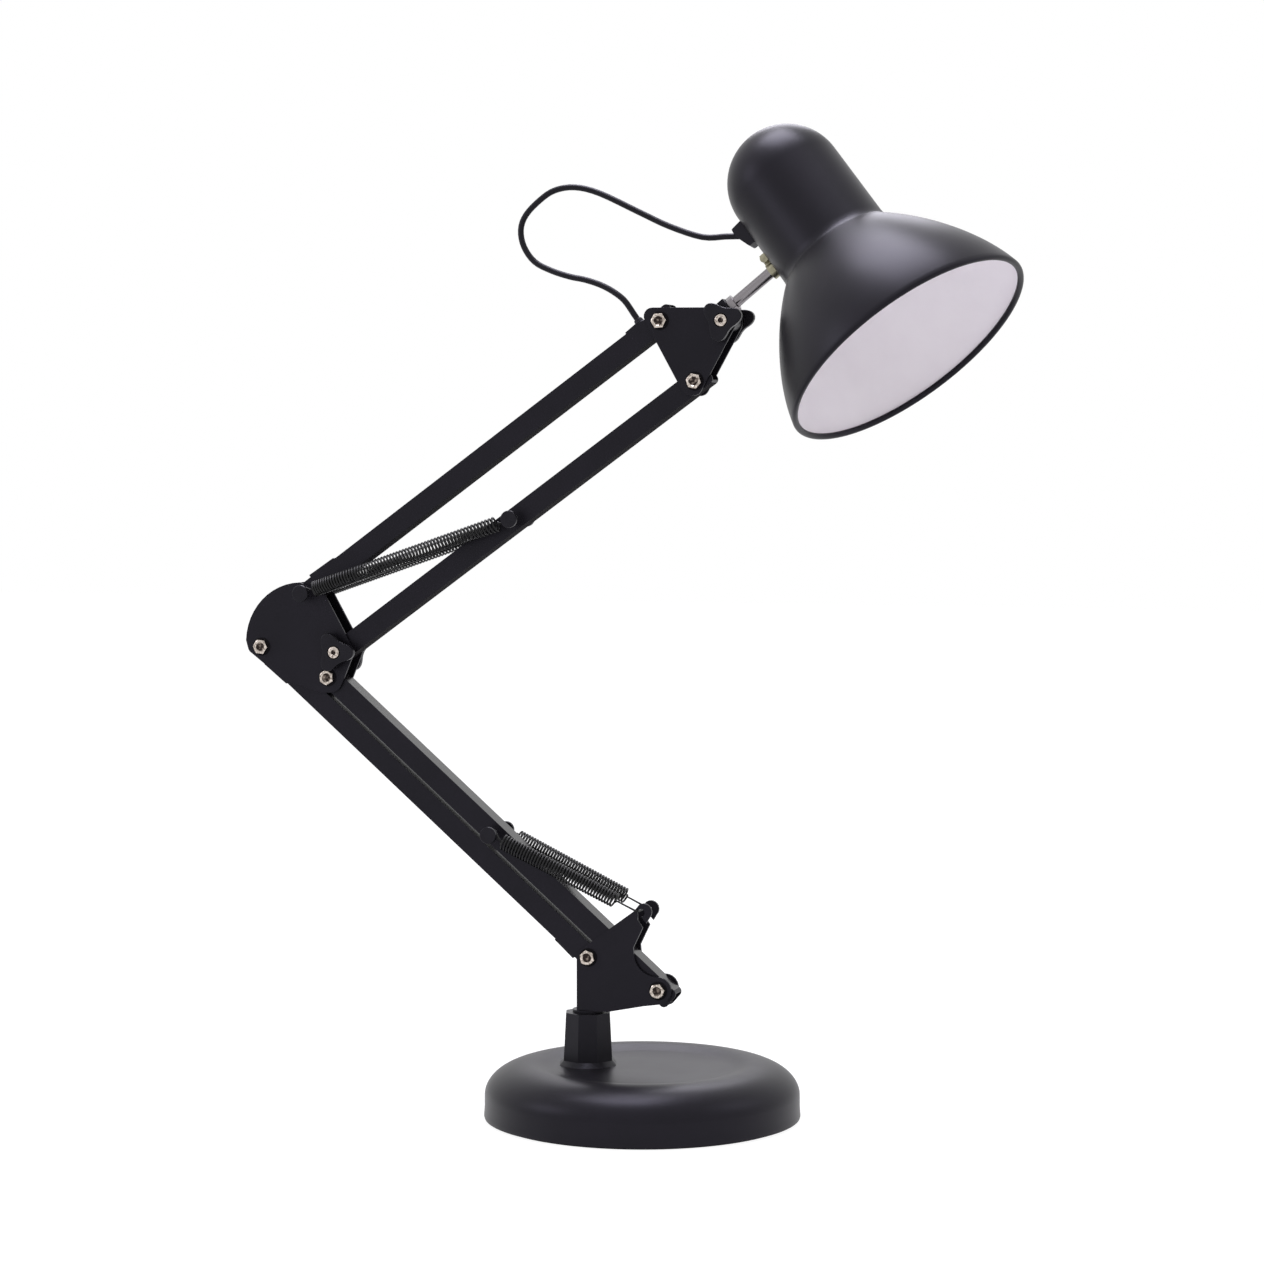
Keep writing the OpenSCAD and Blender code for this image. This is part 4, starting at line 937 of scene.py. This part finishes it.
shader = add(
    white_enamel, "ShaderNodeBsdfPrincipled", {"IOR": 1.5},
    {
        "Base Color": tone.outputs["Color"], "Roughness": sheen.outputs["Result"],
        "Normal": relief.outputs["Normal"],
    },
)
add(white_enamel, "ShaderNodeOutputMaterial", {}, {"Surface": shader.outputs["BSDF"]})
inner_faces, dome_from = [], 60
for face in shade.data.polygons:
    out = Vector((face.center.x, face.center.y, 0)).normalized()
    inward = face.normal.dot(out) < -0.05 or (face.normal.z < -0.5 and face.center.z > dome_from * MM)
    if inward and face.center.z > 1.9 * bead_r * MM:
        inner_faces.append(face.index)
put(shade, neck_place @ Matrix.Translation(Vector((neck_r, 0, -rim_drop)) * MM))
deselect()
slot_r, slot_depth, slot_stretch, slot_at = 8.5, 12, 2.3, Vector((1, 0, 2.75))
bpy.ops.mesh.primitive_cylinder_add(vertices=48, radius=slot_r * MM, depth=slot_depth * MM)
slot_form = bpy.context.object
for v in slot_form.data.vertices:
    v.co.x += math.copysign(slot_stretch * MM, v.co.x)
put(slot_form, neck_place @ Matrix.Translation(slot_at * MM) @ Matrix.Rotation(math.radians(90), 4, "Y"))
dress(shade, "bell_shade", powder_coat, None, "black_enamel", "shade")
shade.data.materials.append(white_enamel)
for i in inner_faces:
    shade.data.polygons[i].material_index = 1
cut = shade.modifiers.new("rod_slot", "BOOLEAN")
cut.operation, cut.solver, cut.object = "DIFFERENCE", "EXACT", slot_form
pick(shade)
bpy.ops.object.modifier_apply(modifier=cut.name)
bpy.ops.object.shade_smooth_by_angle(angle=math.radians(35))
bpy.data.objects.remove(slot_form)
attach(shade, "shade")

# ---- Neck fittings ----
# A slit steel barrel that a screw across its ears closes on the rod, and the bent strap that carries
# the lampholder, all plated in pale yellow passivated zinc.
yellow_zinc = new_material("yellow_passivated_zinc")
where = add(yellow_zinc, "ShaderNodeTexCoord")
cloud = add(
    yellow_zinc, "ShaderNodeTexNoise", {"Scale": per_mm(3), "Detail": 4.0},
    {"Vector": where.outputs["Object"]},
)
tone = add(yellow_zinc, "ShaderNodeValToRGB", {}, {"Fac": cloud.outputs["Fac"]})
tone.color_ramp.elements[0].color, tone.color_ramp.elements[1].color = linear("#6a6655"), linear("#aaa690")
sheen = add(
    yellow_zinc, "ShaderNodeMapRange", {"To Min": 0.25, "To Max": 0.4}, {"Value": cloud.outputs["Fac"]},
)
shader = add(
    yellow_zinc, "ShaderNodeBsdfPrincipled", {"Metallic": 1.0},
    {"Base Color": tone.outputs["Color"], "Roughness": sheen.outputs["Result"]},
)
add(yellow_zinc, "ShaderNodeOutputMaterial", {}, {"Surface": shader.outputs["BSDF"]})
for node in ("neck_clamp", "clamp_screw", "holder_strap"):
    rounded(node, node + "_dressed", 0.25, 2, yellow_zinc, "shade", "zinc_plate")

# ---- Lampholder and its strain relief ----
# A moulded black lampholder with a brass thread sleeve, and the moulded grip that leads the lead out
# of the neck.
brass = new_material("plain_brass")
where = add(brass, "ShaderNodeTexCoord")
tarnish = add(
    brass, "ShaderNodeTexNoise", {"Scale": per_mm(4), "Detail": 4.0},
    {"Vector": where.outputs["Object"]},
)
tone = add(brass, "ShaderNodeValToRGB", {}, {"Fac": tarnish.outputs["Fac"]})
tone.color_ramp.elements[0].color, tone.color_ramp.elements[1].color = linear("#a4823f"), linear("#d9b568")
shader = add(
    brass, "ShaderNodeBsdfPrincipled", {"Metallic": 1.0, "Roughness": 0.3},
    {"Base Color": tone.outputs["Color"]},
)
add(brass, "ShaderNodeOutputMaterial", {}, {"Surface": shader.outputs["BSDF"]})
coat(brass, "lamp_thread")
rounded("lampholder", "bulb_holder", 0.8, 2, moulded_abs, "shade", "black_plastic")
rounded("strain_relief", "neck_relief", 0.5, 2, moulded_abs, "shade", "black_plastic")

# ---- Floor, backdrop and lights ----
# A plain pale floor under a white sky, one wide soft light overhead, a weaker one behind, and weak
# ones from the left and the right.


def plainly_seen(surface):
    """1 for the rays of the camera, of reflections and through glass, and 0 for those that only light."""
    path = add(surface, "ShaderNodeLightPath")
    seen = add(
        surface, "ShaderNodeMath", {"operation": "MAXIMUM"},
        {0: path.outputs["Is Camera Ray"], 1: path.outputs["Is Glossy Ray"]},
    )
    seen = add(
        surface, "ShaderNodeMath", {"operation": "MAXIMUM"},
        {0: seen.outputs["Value"], 1: path.outputs["Is Transmission Ray"]},
    )
    return seen.outputs["Value"]


floor_white = new_material("pale_floor")
glow_share, glow_level = 0.75, 1.2
share = add(
    floor_white, "ShaderNodeMath", {"operation": "MULTIPLY", 1: glow_share}, {0: plainly_seen(floor_white)})
matt = add(floor_white, "ShaderNodeBsdfDiffuse", {"Color": linear("#e6e6e6")})
glow = add(floor_white, "ShaderNodeEmission", {"Color": linear("#ffffff"), "Strength": glow_level})
both = add(
    floor_white, "ShaderNodeMixShader", {},
    {0: share.outputs["Value"], 1: matt.outputs["BSDF"], 2: glow.outputs["Emission"]},
)
add(floor_white, "ShaderNodeOutputMaterial", {}, {"Surface": both.outputs["Shader"]})
deselect()
bpy.ops.mesh.primitive_plane_add(size=12, location=(0, 0, 0))
floor = bpy.context.object
floor.name = "studio_floor"
floor.data.materials.append(floor_white)

sky = bpy.data.worlds.new("studio_sky")
bpy.context.scene.world = sky
sky.use_nodes = True
sky.node_tree.nodes.clear()
level = add(sky, "ShaderNodeMapRange", {"To Min": 0.65, "To Max": 1.0}, {"Value": plainly_seen(sky)})
dome_light = add(
    sky, "ShaderNodeBackground", {"Color": linear("#ffffff")}, {"Strength": level.outputs["Result"]},
)
add(sky, "ShaderNodeOutputWorld", {}, {"Surface": dome_light.outputs["Background"]})

for name, place, aim, size, watts in (
    ("overhead_softbox", (-0.15, 0.12, 1.6), (0, 0, 0.35), 0.75, 22),
    ("rear_softbox", (-0.5, 1.9, 1.7), (0, 0, 0.3), 0.9, 11),
    ("left_softbox", (-1.6, -0.9, 1.0), (0, 0, 0.3), 0.8, 6),
    ("right_softbox", (1.5, 0.3, 1.2), (0, 0, 0.3), 0.8, 3),
):
    lamp = bpy.data.lights.new(name, "AREA")
    lamp.size, lamp.energy, lamp.color = size, watts, linear("#f2f0fc")[:3]
    holder = bpy.data.objects.new(name, lamp)
    bpy.context.scene.collection.objects.link(holder)
    holder.location = place
    holder.visible_camera = False
    holder.rotation_euler = (Vector(aim) - Vector(place)).to_track_quat("-Z", "Y").to_euler()

bpy.context.scene.view_settings.view_transform = "Standard"
